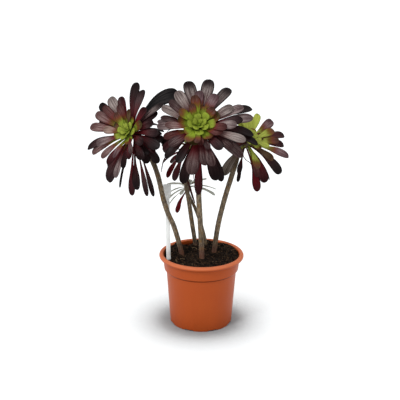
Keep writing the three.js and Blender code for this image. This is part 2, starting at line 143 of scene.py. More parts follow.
# How deeply leaves are dished for their width, how far they are rolled, and the most thickness for a width.
# Their margins wave, with this turn in radians along the leaf, and a groove runs along the midrib. Each
# leaf's own draw shifts its wave and its streaks
LEAF_DISH = 0.16
HEART_DISH = 0.22
LEAF_ROLL = 22
LEAF_MOST_THICK = 0.85
LEAF_WAVE = 0.5
LEAF_GROOVE = 0.5
WAVE_TURN = 12.0
DRAW_REACH = 60.0
LEAF_STATIONS = 14
LEAF_SIDES = 12

# A leaf's lean away from its head's axis for an opening of 0 and of 1, the opening's power between them,
# and how far its outer and inner halves are drawn down where it hangs
INNER_LEAN = (14, 92)
INNER_LEAN_POWER = 0.8
OUTER_LEAN = (34, 112)
OUTER_LEAN_POWER = 0.7
OUTER_DROOP = 1.5
INNER_DROOP = 0.375
DROOP_START = 0.45

# Young leaves at a head's heart, which grow longer from the innermost to the outermost
GOLDEN_ANGLE = 137.508
HEART_INNER_LENGTH = 13
HEART_ROOT_WIDTH = 3
HEART_WIDTH_SHARE = 0.47
HEART_OPENING = 0.46
HEART_GREEN = (1.5, 0.45)
HEART_YELLOWING = 0.35

# The stem's leafy end, which all leaves of a head grow from. Its shape is heights over the tip as shares of
# its length, with the share of its radius at each
SHOOT_RADIUS = 6.8
SHOOT_LENGTH = 38
SHOOT_SHAPE = [(-1.02, 0.8), (-0.95, 0.88), (-0.6, 1), (-0.25, 0.9), (-0.05, 0.55), (0.03, 0.2)]
LEAF_ZONE = 26
ROOT_DEPTH = 4
ROOT_OFFSET = 3

# Stems: thinner where they are buried, at their full radius from some way over the soil, and narrower
# towards the head. Their places are shares of the stem's whole length
STEM_BURIED_SHARE = 0.55
STEM_BURIED_END = 0.16
STEM_SOIL_SHARE = 0.98
STEM_FULL_START = 0.4
STEM_FULL_END = 0.6
STEM_TOP_SHARE = 0.84
STEM_APPROACH = 14
STEM_SEAT = 0.3
STEM_POINTS = 26
STEM_STEP = 2.5
STEM_SIDES = 20
ROUTE_SAMPLES = 200

# Leaf scars, in shares of the stem's radius: how far out they stand, their size and how it varies
SCAR_REACH = 0.95
SCAR_SHAPE = (0.13, 0.36, 0.15)
SCAR_SIZES = (0.94, 1.04)

# How a leaf is coloured: its own sRGB colour, how far up it is green, its painted sheen on the upper face,
# its wine-red root and how dark its tip is
FINISHES = {
    "ink": ("212224", -0.6, 0.1, 0.0, 0.6),
    "coal": ("1B1011", -0.45, 0.03, 0.3, 1.0),
    "dusk": ("2A1518", -0.2, 0.08, 0.5, 0.8),
    "smoke": ("302627", -0.2, 0.4, 0.25, 1.0),
    "slate": ("241C1E", -0.25, 0.75, 0.6, 1.0),
    "ash": ("5C464A", 0.1, 0.9, 0.9, 0.15),
    "silver": ("6C5E5A", 0.0, 1.05, 0.5, 0.05),
    "rose": ("6A4240", 0.3, 0.5, 0.5, 0.15),
    "plum": ("361C1E", 0.05, 0.32, 0.6, 0.1),
    "wine": ("360C12", -0.15, 0.04, 0.9, 0.6),
    "ruby": ("640A12", -0.4, 0.0, 1.0, 0.6),
    "rust": ("52201C", 0.3, 0.15, 0.7, 0.4),
    "umber": ("533C1F", -0.05, 0.08, 0.1, 0.4),
    "amber": ("5C3424", 0.5, 0.15, 0.4, 0.2),
    "grape": ("54303A", 0.36, 0.4, 0.7, 0.2),
    "olive": ("705A38", 0.62, 0.15, 0.2, 0.2),
    "lime": ("808438", 1.0, 0.1, 0.1, 0.0),
    "beige": ("9A7A6C", 0.3, 0.5, 0.25, 0.05),
    "taupe": ("5C5042", 0.1, 0.55, 0.1, 0.05),
    "stalk": ("8A8880", 1.1, 0.2, 0.0, 0.6),
}

# Young leaves at a heart: their own colour, and their painted sheen, wine-red root and how dark the tip is
HEART_COLOUR = "5A4A20"
HEART_TONE = (0.05, 0.1, 0.3)

# Heads: the growing tip's place, how far the head leans from upright, the way it is turned (0 faces -Y,
# 90 faces +X), the count of young leaves at its heart and the longest one, their turn, the head's size
# and how yellow its heart is. Leaves: clock angle on the face seen from in front, length, opening
# (0 upright, 1 hanging), width and finish, and for a twisted one its roll. The last ones of a head fill in
# behind the others.
HEADS = {
    "left": {
        "tip": (-146, -10, 398), "lean": 58, "turn": -36, "heart": (14, 38), "spin": 70, "size": 0.95,
        "yellow": 0.35,
        "leaves": [
            (0, 45, 0.3, 10, "umber"), (0, 90, 0.6, 16, "dusk", 15), (10, 148, 0.73, 28, "ink", 60),
            (20, 85, 0.85, 18, "coal"), (30, 60, 0.5, 17, "wine"), (35, 90, 0.6, 15, "smoke"),
            (40, 70, 0.6, 19, "coal"), (45, 70, 0.75, 7, "coal"), (50, 65, 0.75, 8, "slate"),
            (55, 80, 0.85, 18, "coal"), (90, 78, 0.65, 22, "coal"), (95, 70, 0.7, 11, "wine"),
            (95, 80, 0.85, 17, "coal"), (105, 60, 0.7, 22, "coal"), (115, 65, 0.85, 17, "coal"),
            (130, 125, 1, 10, "coal"), (135, 70, 0.4, 12, "plum"), (140, 120, 1, 12, "dusk"),
            (155, 105, 0.95, 17, "coal"), (168, 115, 1, 15, "wine"), (185, 90, 0.7, 17, "ash"),
            (190, 105, 0.9, 7, "coal"), (207, 105, 0.8, 28, "dusk"), (220, 75, 0.6, 14, "rose"),
            (230, 85, 0.8, 18, "coal"), (235, 70, 0.5, 17, "ash"), (245, 95, 0.65, 18, "rose"),
            (255, 50, 0.3, 16, "beige"), (255, 105, 0.65, 20, "dusk"), (265, 85, 0.5, 19, "rose"),
            (280, 75, 0.55, 14, "ruby"), (285, 85, 0.5, 19, "rose"), (300, 75, 0.4, 16, "rust"),
            (300, 80, 0.85, 18, "coal"), (300, 95, 0.55, 19, "coal"), (315, 45, 0.25, 16, "amber"),
            (315, 85, 0.5, 21, "silver"), (331, 75, 0.5, 17, "wine"), (335, 80, 0.85, 18, "coal"),
            (350, 105, 0.6, 18, "coal", 30),
            (60, 60, 0.55, 18, "dusk"), (75, 70, 0.6, 18, "dusk"), (110, 55, 0.5, 18, "dusk"),
            (125, 65, 0.65, 18, "dusk"), (150, 60, 0.55, 16, "wine"), (170, 70, 0.65, 15, "coal"),
            (185, 60, 0.5, 13, "grape"), (200, 75, 0.6, 16, "wine"), (325, 60, 0.45, 16, "rust"),
        ],
    },
    "back": {
        "tip": (-25, 56, 360), "lean": 24, "turn": 180, "heart": (12, 30), "spin": 30, "size": 0.7,
        "yellow": 0.6,
        "leaves": [
            (0, 60, 0.6, 17, "plum"), (20, 100, 0.95, 15, "wine"), (35, 90, 0.95, 14, "ruby"),
            (60, 58, 0.5, 16, "ash"), (80, 62, 0.8, 17, "wine"), (125, 58, 0.8, 17, "wine"),
            (150, 50, 0.5, 15, "rust"), (180, 46, 0.55, 15, "wine"), (205, 50, 0.75, 16, "coal"),
            (230, 58, 0.5, 16, "plum"), (255, 62, 0.8, 17, "coal"), (280, 60, 0.55, 16, "ash"),
            (305, 62, 0.75, 17, "coal"), (330, 58, 0.5, 16, "rust"),
        ],
    },
    "centre": {
        "tip": (-7, -52, 421), "lean": 50, "turn": 0, "heart": (18, 48), "spin": 20, "size": 1,
        "yellow": 0.2,
        "leaves": [
            (0, 80, 0.85, 20, "coal"), (12, 95, 0.5, 25, "slate"), (29, 106, 0.62, 22, "smoke"),
            (30, 70, 0.4, 22, "grape"), (45, 45, 0.3, 19, "amber"), (45, 85, 0.85, 20, "coal"),
            (50, 120, 0.67, 20, "coal"), (63, 93, 0.55, 20, "ash"), (72, 105, 0.6, 19, "ash"),
            (75, 85, 0.85, 20, "coal"), (75, 110, 0.7, 19, "coal"), (80, 122, 0.73, 19, "coal"),
            (95, 75, 0.45, 18, "ash"), (114, 99, 0.5, 18, "silver"), (115, 100, 0.65, 23, "plum"),
            (120, 55, 0.35, 22, "rust"), (140, 105, 0.9, 17, "coal"), (150, 100, 0.85, 23, "coal"),
            (160, 55, 0.5, 13, "plum"), (160, 85, 0.6, 20, "plum"), (175, 50, 0.4, 13, "rust"),
            (180, 120, 0.94, 16, "wine"), (185, 55, 0.3, 14, "amber"), (190, 95, 0.65, 26, "plum"),
            (205, 60, 0.3, 18, "olive"), (205, 105, 0.85, 20, "coal"), (245, 75, 0.5, 17, "rust"),
            (250, 80, 0.7, 22, "wine"), (260, 70, 0.4, 18, "rose"), (285, 75, 0.55, 13, "plum"),
            (285, 80, 0.6, 11, "ash"), (285, 85, 0.85, 20, "coal"), (295, 80, 0.5, 20, "silver"),
            (300, 50, 0.3, 18, "olive"), (315, 85, 0.85, 20, "coal"), (325, 80, 0.45, 22, "silver"),
            (335, 45, 0.25, 15, "amber"), (347, 95, 0.55, 25, "slate"), (350, 60, 0.3, 18, "amber"),
            (0, 70, 0.45, 18, "grape"), (60, 75, 0.5, 18, "silver"), (85, 85, 0.5, 18, "dusk"),
            (105, 60, 0.35, 17, "rust"), (125, 80, 0.55, 20, "plum"), (140, 70, 0.5, 20, "dusk"),
            (170, 80, 0.6, 20, "plum"), (215, 80, 0.65, 18, "coal"), (230, 75, 0.5, 18, "plum"),
            (240, 85, 0.7, 18, "coal"), (270, 80, 0.55, 18, "ash"), (310, 75, 0.5, 18, "plum"),
        ],
    },
    "small": {
        "tip": (-28, 66, 274), "lean": 8, "turn": 0, "heart": (8, 14), "spin": 10, "size": 0.5,
        "yellow": 0.5,
        "leaves": [
            (20, 45, 0.7, 9, "stalk"), (60, 20, 0.45, 6, "stalk"), (80, 40, 0.5, 8, "stalk"),
            (90, 60, 0.65, 6, "stalk"), (100, 60, 0.7, 10, "stalk"), (213, 60, 1, 11, "ruby"),
            (218, 50, 1, 9, "ruby"), (230, 25, 0.8, 8, "stalk"), (255, 60, 0.95, 5, "stalk"),
            (265, 55, 0.85, 8, "stalk"), (270, 50, 0.75, 5, "stalk"), (275, 45, 0.6, 7, "stalk"),
            (285, 35, 0.6, 8, "stalk"), (345, 45, 0.75, 9, "stalk"),
        ],
    },
    "right": {
        "tip": (98, 30, 374), "lean": 50, "turn": 42, "heart": (11, 32), "spin": 150, "size": 0.9,
        "yellow": 0.95,
        "leaves": [
            (0, 80, 0.85, 18, "coal"), (25, 55, 0.5, 15, "lime"), (30, 80, 0.85, 18, "coal"),
            (40, 65, 0.5, 15, "lime"), (60, 80, 0.85, 18, "coal"), (65, 80, 0.55, 19, "grape"),
            (85, 60, 0.45, 16, "olive"), (85, 95, 0.6, 19, "wine"), (105, 65, 0.5, 17, "amber"),
            (125, 100, 0.75, 19, "coal", 50), (135, 85, 0.5, 21, "grape"), (140, 90, 0.85, 7, "coal"),
            # The leaf at 160 has the dark umber finish for the shade it lies in, which is painted shade
            (150, 40, 0.25, 12, "lime"), (160, 55, 0.5, 18, "umber"), (170, 85, 0.75, 21, "wine", 30),
            (175, 95, 0.95, 17, "ruby", 40), (185, 70, 0.75, 17, "rust"), (195, 60, 0.6, 18, "olive"),
            (225, 75, 1, 9, "coal"), (230, 60, 0.95, 12, "coal"), (260, 90, 0.8, 19, "taupe"),
            (275, 60, 0.6, 18, "coal"), (300, 65, 0.6, 18, "coal"), (320, 75, 0.8, 18, "coal"),
            (350, 45, 0.55, 16, "lime"),
            (100, 85, 0.6, 18, "wine"), (150, 60, 0.55, 18, "olive"), (5, 50, 0.5, 17, "lime"),
        ],
    },
}

# Stems: points along the middle from the buried end up, and the radius above the soil
STEMS = {
    "left": (5, [(-32, 14, 88), (-39, 11, 134), (-56, 2, 202), (-67, 2, 227), (-76, 3, 256),
                   (-88, 10, 306), (-100, 17, 335)]),
    "back": (4.5, [(-12, 53, 88), (-12, 54, 134), (-20, 50, 192), (-27, 46, 243), (-32, 44, 274),
                   (-28, 42, 300)]),
    "centre": (5.3, [(1, -9, 88), (1, -9, 134), (-3, -9, 213), (-6, -9, 261), (-8, -9, 320)]),
    "small": (3.6, [(14, 54, 88), (10, 56, 137), (-1, 58, 184), (-14, 60, 220)]),
    "right": (5.2, [(24, 27, 88), (26, 27, 135), (33, 27, 194), (45, 28, 249), (59, 30, 299),
                  (66, 32, 324)]),
}

# Withered leaves that hang from a head: the radius, and points along the middle
DRY_LEAVES = {
    "centre": (0.7, [(-7, -26, 392), (-8, -42, 360), (-8, -45, 341), (-15, -45, 329), (-17, -45, 319),
                     (-15, -45, 311), (-9, -45, 304)]),
    "right": (0.9, [(84, 44, 358), (80, 22, 362), (79, 5, 352), (80, 5, 345), (85, 5, 338), (93, 5, 332),
                    (97, 5, 326)]),
    "back": (2.2, [(-31, 42, 290), (-26, 38, 276), (-20, 32, 257), (-14, 30, 240)]),
    "side": (1.5, [(-27, 56, 342), (-52, 36, 350), (-68, 22, 343), (-77, 20, 328), (-81, 20, 307)]),
}
# Their radius at both ends and the depth of their wrinkles are shares of the radius
DRY_LEAF_END_SHARE = 0.4
DRY_LEAF_RELIEF_SHARE = 0.4
DRY_LEAF_STEP = 2
DRY_LEAF_SIDES = 8

# Label: a blank plastic stake that leans back behind the left stem, with a wider head
LABEL_FOOT = Vector((-65, -20, 113))
LABEL_TOP = Vector((-70, 28, 280))
LABEL_HEAD_LENGTH = 20
LABEL_SHOULDER_LENGTH = 6
LABEL_POINT_LENGTH = 10
LABEL_POINT_ROUND = 1.5
LABEL_SHOULDER_ROUND = 2
LABEL_CORNER = 2.5
LABEL_EDGE = 0.25
LABEL_EDGE_ANGLE = 60
LABEL_SHARP_ANGLE = 40
# How far smudges darken it, and the heights over which soil has splashed it
LABEL_SMUDGE = 0.92
LABEL_SPLASH = (160, 134)

# Camera: what it looks at, from how far and how high, its roll, and its focal length on a 36 mm sensor
CAMERA_TARGET = Vector((-3.9, 0, 256.5))
CAMERA_DISTANCE = 1800
CAMERA_ELEVATION = 17.94
CAMERA_ROLL = 0.53
CAMERA_LENS = 82.15
CAMERA_REACH = 60000

# Stage: half the paper's side, from how near a thing dims the paper's glow into a painted contact shadow,
# and where the key light stands
FLOOR_HALF_SIDE = 14000
PAINTED_SHADOW_REACH = 190
KEY_LIGHT_PLACE = (-0.7, -0.8, 1)


def to_linear(code):
    """A colour written as six sRGB hex digits, as linear red, green and blue."""
    parts = [int(code[i:i + 2], 16) / 255 for i in (0, 2, 4)]
    return tuple(p / 12.92 if p <= 0.04045 else ((p + 0.055) / 1.055) ** 2.4 for p in parts)


def length_setting(name, description, metres):
    """A size that a user may change."""
    return FloatProperty(
        name=name, description=description, default=metres, min=0, unit="LENGTH", precision=4
    )


def colour_setting(name, description, code):
    """A colour that a user may change, from its sRGB hex digits."""
    return FloatVectorProperty(
        name=name, description=description, default=to_linear(code), size=3, min=0, max=1, subtype="COLOR"
    )


class PotSettings(PropertyGroup):
    """Sizes and colours of the nursery pot."""

    height: length_setting("Height", "From the table to the top of the lip", POT_HIGH.z)
    lip_diameter: length_setting("Lip diameter", "Across the rolled lip", POT_HIGH.x - POT_LOW.x)
    wall: length_setting("Wall", "Thickness of the moulded wall", 1.8 * MM)
    plastic: colour_setting("Plastic", "Terracotta-coloured plastic", "AA491B")
    plastic_light: colour_setting("Light plastic", "Where the plastic is a little paler", "B2521E")
    dust: colour_setting("Dust", "Soil dust inside the collar", "5A2C16")
    # This colour is painted shade: a dark line under the lip and under the collar, where shade falls
    shade: colour_setting("Crease", "Grime under the lip and the collar", "54200C")
    # This colour is a painted highlight: the paler band laid along the lip's outer crest
    worn: colour_setting("Worn lip", "Paler plastic where hands rub the lip", "DA7C54")


class SoilSettings(PropertyGroup):
    """Sizes, counts and colours of the potting mix."""

    crumb: length_setting("Crumb", "Size of the largest crumbs", 5 * MM)
    fibre: length_setting("Fibre", "Length of the longest fibres", 13 * MM)
    relief: length_setting("Relief", "Depth of the soil's own bumps", 3 * MM)
    seed: IntProperty(name="Seed", description="Places the crumbs and fibres", default=7, min=0)
    peat: colour_setting("Peat", "Damp peat", "070403")
    peat_light: colour_setting("Dry peat", "Drier crumbs and bark", "5A4330")
    straw: colour_setting("Straw", "Pale fibres", "A78C68")


class LabelSettings(PropertyGroup):
    """Sizes and colours of the blank plant label."""

    thickness: length_setting("Thickness", "Of the plastic sheet", 1.2 * MM)
    stake_width: length_setting("Stake width", "Across the stake", 8.5 * MM)
    head_width: length_setting("Head width", "Across the wider head", 16 * MM)
    sheet: colour_setting("Sheet", "White plastic", "FCFEFC")
    splash: colour_setting("Splash", "Soil splashed on its foot", "5C4636")


class StemSettings(PropertyGroup):
    """Sizes and colours of the bare stems."""

    scar_spacing: length_setting("Scar spacing", "Between leaf scars along a stem", 4.4 * MM)
    relief: length_setting("Relief", "Depth of the bark's bumps", 0.5 * MM)
    bark: colour_setting("Bark", "Grey-brown bark", "8E7D66")
    bark_dark: colour_setting("Dark bark", "In the furrows and round the leaf scars", "3A2D22")
    shoot: colour_setting("Young bark", "Near the rosette", "4A3B2A")
    ochre: colour_setting("Ochre bark", "Worn patches half-way up", "7C5C2E")
    foot: colour_setting("Foot", "Reddish bark at the soil", "7A4A3E")
    bud: colour_setting("Bud", "Green growing tip", "6A7E14")


class LeafSettings(PropertyGroup):
    """Thicknesses and colours of the leaves."""

    root_thickness: length_setting("Root thickness", "Of a leaf where it joins the stem", 3.2 * MM)
    tip_thickness: length_setting("Tip thickness", "Of a leaf near its tip", 1.7 * MM)
    coal: colour_setting("Coal", "Near-black tips and margins", "120B0C")
    wine: colour_setting("Wine", "Dark red roots", "6E141E")
    # This grey-pink colour is a painted sheen, laid on the upper face in place of reflected light
    painted_sheen: colour_setting("Bloom", "Waxy bloom on the upper face", "BAACA7")
    lime: colour_setting("Lime", "Fresh heart leaves", "728A16")
    # This green is painted shade down between the heart leaves, and partly painted shade in their margin
    # lines
    painted_shade_green: colour_setting("Deep green", "Down between the heart leaves and along their margins", "44480E")
    butter: colour_setting("Yellow green", "Yellower heart leaves", "AAB24E")
    amber: colour_setting("Amber", "Between green and red", "6E6020")
    rust: colour_setting("Rust", "Reddish brown", "6A2A20")
    petiole: colour_setting("Pale stalk", "Leaf stalks of the shaded head", "D4D6CA")


class StageSettings(PropertyGroup):
    """The floor and the studio's light."""

    paper: colour_setting("Floor", "White paper floor", "A3A8AA")
    # The floor's glow dims near things on it into a painted contact shadow
    glow: FloatProperty(
        name="Floor glow", description="Light that the open paper lets through", default=0.78, min=0
    )
    key: FloatProperty(name="Key light", description="Soft light from the front left", default=0.9, min=0)
    key_angle: FloatProperty(
        name="Key width", description="How wide the key light is", default=math.radians(14), min=0,
        subtype="ANGLE",
    )
    ceiling: FloatProperty(name="Ceiling", description="Light from straight above", default=1.15, min=0)
    walls: FloatProperty(name="Walls", description="Light from the sides", default=0.22, min=0)


def wire(tree, node, links):
    """Sets or links a node's inputs, each by its name or number: to a value, a node or one of its outputs."""
    for key, values in links.items():
        socket = node.inputs[key] if isinstance(key, int) else next(
            s for s in node.inputs if s.enabled and s.name == key
        )
        for value in values if isinstance(values, list) else [values]:
            if isinstance(value, bpy.types.Node):
                value = next(s for s in value.outputs if s.enabled)
            if isinstance(value, bpy.types.NodeSocket):
                tree.links.new(value, socket)
            elif socket.type == "RGBA" and len(value) == 3:
                socket.default_value = (*value, 1)
            else:
                socket.default_value = value


def add(tree, kind, links=None, **settings):
    """Adds a node with its own settings and its inputs' values and links.

    A list of values is worked through two at a time, with a node for each step.
    """
    if isinstance(links, list):
        result = links[0]
        for value in links[1:]:
            result = add(tree, kind, {0: result, 1: value}, **settings)
        return result
    node = tree.nodes.new(kind)
    for field, value in settings.items():
        setattr(node, field, value)
    wire(tree, node, links or {})
    return node


def shape_curve(node, points):
    """Draws a curve node's line through these points."""
    line = node.mapping.curves[0]
    line.points[0].location = points[0]
    line.points[-1].location = points[-1]
    for point in points[1:-1]:
        line.points.new(*point)
    node.mapping.use_clip = False
    node.mapping.update()
    return node


def new_tree(name, inputs):
    """A Geometry Nodes tree with a geometry input and these named inputs, and its group input node."""
    kinds = {int: "NodeSocketInt", float: "NodeSocketFloat", type(None): "NodeSocketMaterial"}
    tree = bpy.data.node_groups.new(name, "GeometryNodeTree")
    tree.interface.new_socket("Geometry", in_out="INPUT", socket_type="NodeSocketGeometry")
    for label, start in inputs.items():
        socket = tree.interface.new_socket(label, in_out="INPUT", socket_type=kinds[type(start)])
        if start is not None:
            socket.default_value = start
    tree.interface.new_socket("Geometry", in_out="OUTPUT", socket_type="NodeSocketGeometry")
    return tree, add(tree, "NodeGroupInput").outputs


def end_tree(tree, geometry, material, smooth):
    """Ends a tree in real geometry with its material."""
    real = add(tree, "GeometryNodeRealizeInstances", {"Geometry": geometry})
    shaded = add(tree, "GeometryNodeSetShadeSmooth", {"Geometry": real, "Shade Smooth": smooth})
    finished = add(tree, "GeometryNodeSetMaterial", {"Geometry": shaded, "Material": material})
    add(tree, "NodeGroupOutput", {"Geometry": finished})
    return tree


def evaluated(piece):
    """The piece's mesh with its modifiers, which are then taken off."""
    depsgraph = bpy.context.evaluated_depsgraph_get()
    mesh = bpy.data.meshes.new_from_object(
        piece.evaluated_get(depsgraph), preserve_all_data_layers=True, depsgraph=depsgraph
    )
    if not mesh.polygons:
        raise RuntimeError(f"{piece.name} came out empty")
    piece.modifiers.clear()
    mesh.name = piece.name
    piece.data = mesh
    return piece


def grow(piece, tree, inputs):
    """Runs a Geometry Nodes tree with these inputs on a piece and keeps what it makes as a plain mesh."""
    modifier = piece.modifiers.new(tree.name, "NODES")
    modifier.node_group = tree
    sockets = {s.name: s for s in tree.interface.items_tree if s.in_out == "INPUT"}
    for name, value in inputs.items():
        modifier[sockets[name].identifier] = value
    return evaluated(piece)


def new_piece(name, vertices, edges, faces):
    """A piece in the scene from corners in millimetres."""
    mesh = bpy.data.meshes.new(name)
    mesh.from_pydata([Vector(v) * MM for v in vertices], edges, faces)
    mesh.update()
    piece = bpy.data.objects.new(name, mesh)
    bpy.context.scene.collection.objects.link(piece)
    return piece


def give(piece, name, values):
    """Gives each of a piece's vertices a named number or vector."""
    kind, field = ("FLOAT_VECTOR", "vector") if hasattr(values[0], "__len__") else ("FLOAT", "value")
    layer = piece.data.attributes.new(name, kind, "POINT")
    flat = [number for value in values for number in value] if field == "vector" else values
    layer.data.foreach_set(field, flat)


def settle(piece, slot, *nodes):
    """Lets a finished piece ride with the plant in place of these solids. The slot is not used."""
    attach(piece, "root")
    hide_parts(*nodes)


def new_material(name):
    """An empty node material, its tree, and the place on the object that its patterns follow."""
    material = bpy.data.materials.new(name)
    material.use_nodes = True
    tree = material.node_tree
    tree.nodes.clear()
    return material, tree, add(tree, "ShaderNodeTexCoord").outputs["Object"]


def end_material(material, inputs):
    """Ends a material's tree in a Principled shader with these inputs."""
    tree = material.node_tree
    shader = add(tree, "ShaderNodeBsdfPrincipled", inputs)
    add(tree, "ShaderNodeOutputMaterial", {"Surface": shader})
    return material


def layered(tree, colour, layers):
    """A colour with others laid over it in turn, each in the product of its shares."""
    for shares, laid in layers:
        share = add(tree, "ShaderNodeMath", shares, operation="MULTIPLY")
        colour = add(tree, "ShaderNodeMix", {"Factor": share, "A": colour, "B": laid}, data_type="RGBA")
    return colour


def axis_distance(tree, place):
    """How far a place is from the pot's axis."""
    flat = add(tree, "ShaderNodeVectorMath", {0: place, 1: (1, 1, 0)}, operation="MULTIPLY")
    return add(tree, "ShaderNodeVectorMath", {0: flat}, operation="LENGTH").outputs["Value"]


def mix(start, stop, share):
    """The number this share of the way from start to stop."""
    return start + (stop - start) * share


def eased(value, start, stop):
    """From 0 to 1 with a smooth start and stop."""
    share = min(max((value - start) / (stop - start), 0), 1)
    return share * share * (3 - 2 * share)


def spread(index):
    """An even spread of numbers from 0 to 1, the same on every run."""
    return (index * SPREAD_STEP) % 1


def polypropylene(pot):
    """Terracotta-coloured polypropylene, injection-moulded: satin, with faint flow marks up the wall.

    It gives the eye an even, slightly waxy orange-brown with soft wide highlights on every round edge.
    """
    material, tree, place = new_material("moulded_polypropylene")
    upright = add(tree, "ShaderNodeMapping", {"Vector": place, "Scale": (260, 260, 9)})
    flow = add(tree, "ShaderNodeTexNoise", {"Vector": upright, "Scale": 1.0, "Detail": 3.0})
    cloud = add(tree, "ShaderNodeTexNoise", {"Vector": place, "Scale": 26.0, "Detail": 3.0})
    # The mould's fine grain is about 0.1 mm, drawn here at 0.6 mm so that it shows
    grain = add(tree, "ShaderNodeTexNoise", {"Vector": place, "Scale": 1600.0, "Detail": 2.0})
    marks = add(tree, "ShaderNodeMix", {"Factor": 0.35, "A": cloud, "B": flow}, data_type="FLOAT")
    paler = add(tree, "ShaderNodeMapRange", {
        "Value": marks, "From Min": 0.35, "From Max": 0.75, "To Min": 0.0, "To Max": 0.45,
    })
    height = add(tree, "ShaderNodeSeparateXYZ", {"Vector": place}).outputs["Z"]
    # Half-way through the collar's wall at each height, which parts its inside from its outside
    middle = add(tree, "ShaderNodeMapRange", {
        "Value": height,
        "From Min": COLLAR_FOOT_HEIGHT * MM,
        "From Max": pot.height - 2 * LIP_ROUND * MM,
        "To Min": COLLAR_FOOT_RADIUS * MM - pot.wall / 2,
        "To Max": COLLAR_TOP_RADIUS * MM - pot.wall / 2,
    })
    depth = add(tree, "ShaderNodeMath", [middle, axis_distance(tree, place)], operation="SUBTRACT")
    inside = add(tree, "ShaderNodeMapRange", {
        "Value": depth, "From Min": -0.3 * MM, "From Max": 0.5 * MM,
    }, interpolation_type="SMOOTHSTEP")
    outer = add(tree, "ShaderNodeMath", [1.0, inside], operation="SUBTRACT")
    collar = add(tree, "ShaderNodeMapRange", {
        "Value": height, "From Min": DUST_START[0] * MM, "From Max": DUST_START[1] * MM,
    })
    low = add(tree, "ShaderNodeMapRange", {
        "Value": height, "From Min": DUST_END[0] * MM, "From Max": DUST_END[1] * MM,
    }, interpolation_type="SMOOTHSTEP")
    patchy = add(tree, "ShaderNodeMapRange", {"Value": cloud, "From Min": 0.35, "From Max": 0.65})
    shade_line_masks = []
    # Painted shade: each line darkens the plastic under the lip or the collar
    for line, line_reach in PAINTED_SHADE_LINES:
        away = add(tree, "ShaderNodeMath", [height, line * MM], operation="SUBTRACT")
        shade_line_masks.append(add(tree, "ShaderNodeMapRange", {
            "Value": add(tree, "ShaderNodeMath", {0: away}, operation="ABSOLUTE"),
            "From Min": line_reach * MM, "From Max": 0.0, "To Min": 0.0, "To Max": 0.95,
        }, interpolation_type="SMOOTHSTEP"))
    painted_crease_shade = add(tree, "ShaderNodeMath", shade_line_masks, operation="MAXIMUM")
    # Painted highlight: a paler band along the outer crest of the lip
    painted_lip_highlight = add(tree, "ShaderNodeMapRange", {
        "Value": height, "From Min": LIP_HIGHLIGHT_BAND[0] * MM, "From Max": LIP_HIGHLIGHT_BAND[1] * MM, "To Max": 0.75,
    }, interpolation_type="SMOOTHSTEP")
    # Paler plastic on the lip as a painted highlight, then dust inside the collar, then a painted
    # shade line under lip and collar
    skin = layered(tree, pot.plastic, (
        ([paler], pot.plastic_light),
        ([painted_lip_highlight, outer], pot.worn),
        ([inside, collar, low, patchy, 0.7], pot.dust),
        ([painted_crease_shade], pot.shade),
    ))
    satin = add(tree, "ShaderNodeMapRange", {
        "Value": marks, "From Min": 0.3, "From Max": 0.7, "To Min": 0.34, "To Max": 0.46,
    })
    relief = add(tree, "ShaderNodeMix", {"Factor": 0.4, "A": grain, "B": flow}, data_type="FLOAT")
    bump = add(tree, "ShaderNodeBump", {"Height": relief, "Strength": 0.12, "Distance": 0.3 * MM})
    # Less gloss along the painted shade lines, so that they stay dark
    gloss = add(tree, "ShaderNodeMapRange", {"Value": painted_crease_shade, "To Min": 0.12, "To Max": 0.01})
    return end_material(material, {
        "Base Color": skin, "Roughness": satin, "Normal": bump, "Specular IOR Level": gloss,
    })


def potting_mix(soil):
    """Damp peat potting mix: matt and nearly black, with drier brown crumbs on top."""
    material, tree, place = new_material("peat_potting_mix")
    # Clods of 8 mm, crumbs of 2 mm and dust of 0.6 mm
    clod = add(tree, "ShaderNodeTexNoise", {"Vector": place, "Scale": 125.0, "Detail": 2.0})
    crumb = add(tree, "ShaderNodeTexVoronoi", {"Vector": place, "Scale": 480.0}).outputs["Color"]
    dust = add(tree, "ShaderNodeTexNoise", {"Vector": place, "Scale": 1600.0, "Detail": 3.0})
    piece = add(tree, "ShaderNodeAttribute", attribute_name="dryness").outputs["Fac"]
    tone = add(tree, "ShaderNodeSeparateColor", {"Color": crumb}).outputs["Red"]
    speckle = add(tree, "ShaderNodeMath", [tone, clod, dust], operation="MULTIPLY")
    drier = add(tree, "ShaderNodeMapRange", {
        "Value": speckle, "From Min": 0.1, "From Max": 0.34, "To Max": 0.6,
    })
    both = add(tree, "ShaderNodeMath", [drier, piece], operation="MAXIMUM", use_clamp=True)
    body = add(tree, "ShaderNodeMix", {
        "Factor": both, "A": soil.peat, "B": soil.peat_light,
    }, data_type="RGBA")
    bump = add(tree, "ShaderNodeBump", {"Height": dust, "Strength": 0.8, "Distance": 0.6 * MM})
    return end_material(material, {
        "Base Color": body, "Roughness": 0.93, "Specular IOR Level": 0.1, "Normal": bump,
    })


def plant_fibre(soil):
    """Coir and straw fibres in the mix: matt, from dark brown to pale straw, each of one tone."""
    material, tree, place = new_material("coir_fibre")
    piece = add(tree, "ShaderNodeAttribute", attribute_name="dryness").outputs["Fac"]
    # Cells along the fibre, about 0.5 mm
    cells = add(tree, "ShaderNodeTexNoise", {"Vector": place, "Scale": 2000.0, "Detail": 2.0})
    speckle = add(tree, "ShaderNodeMath", [cells, 0.3], operation="MULTIPLY")
    tone = add(tree, "ShaderNodeMath", [piece, speckle], operation="ADD")
    body = add(tree, "ShaderNodeMix", {
        "Factor": tone, "A": soil.peat_light, "B": soil.straw,
    }, data_type="RGBA")
    bump = add(tree, "ShaderNodeBump", {"Height": cells, "Strength": 0.4, "Distance": 0.2 * MM})
    return end_material(material, {"Base Color": body, "Roughness": 0.8, "Normal": bump})


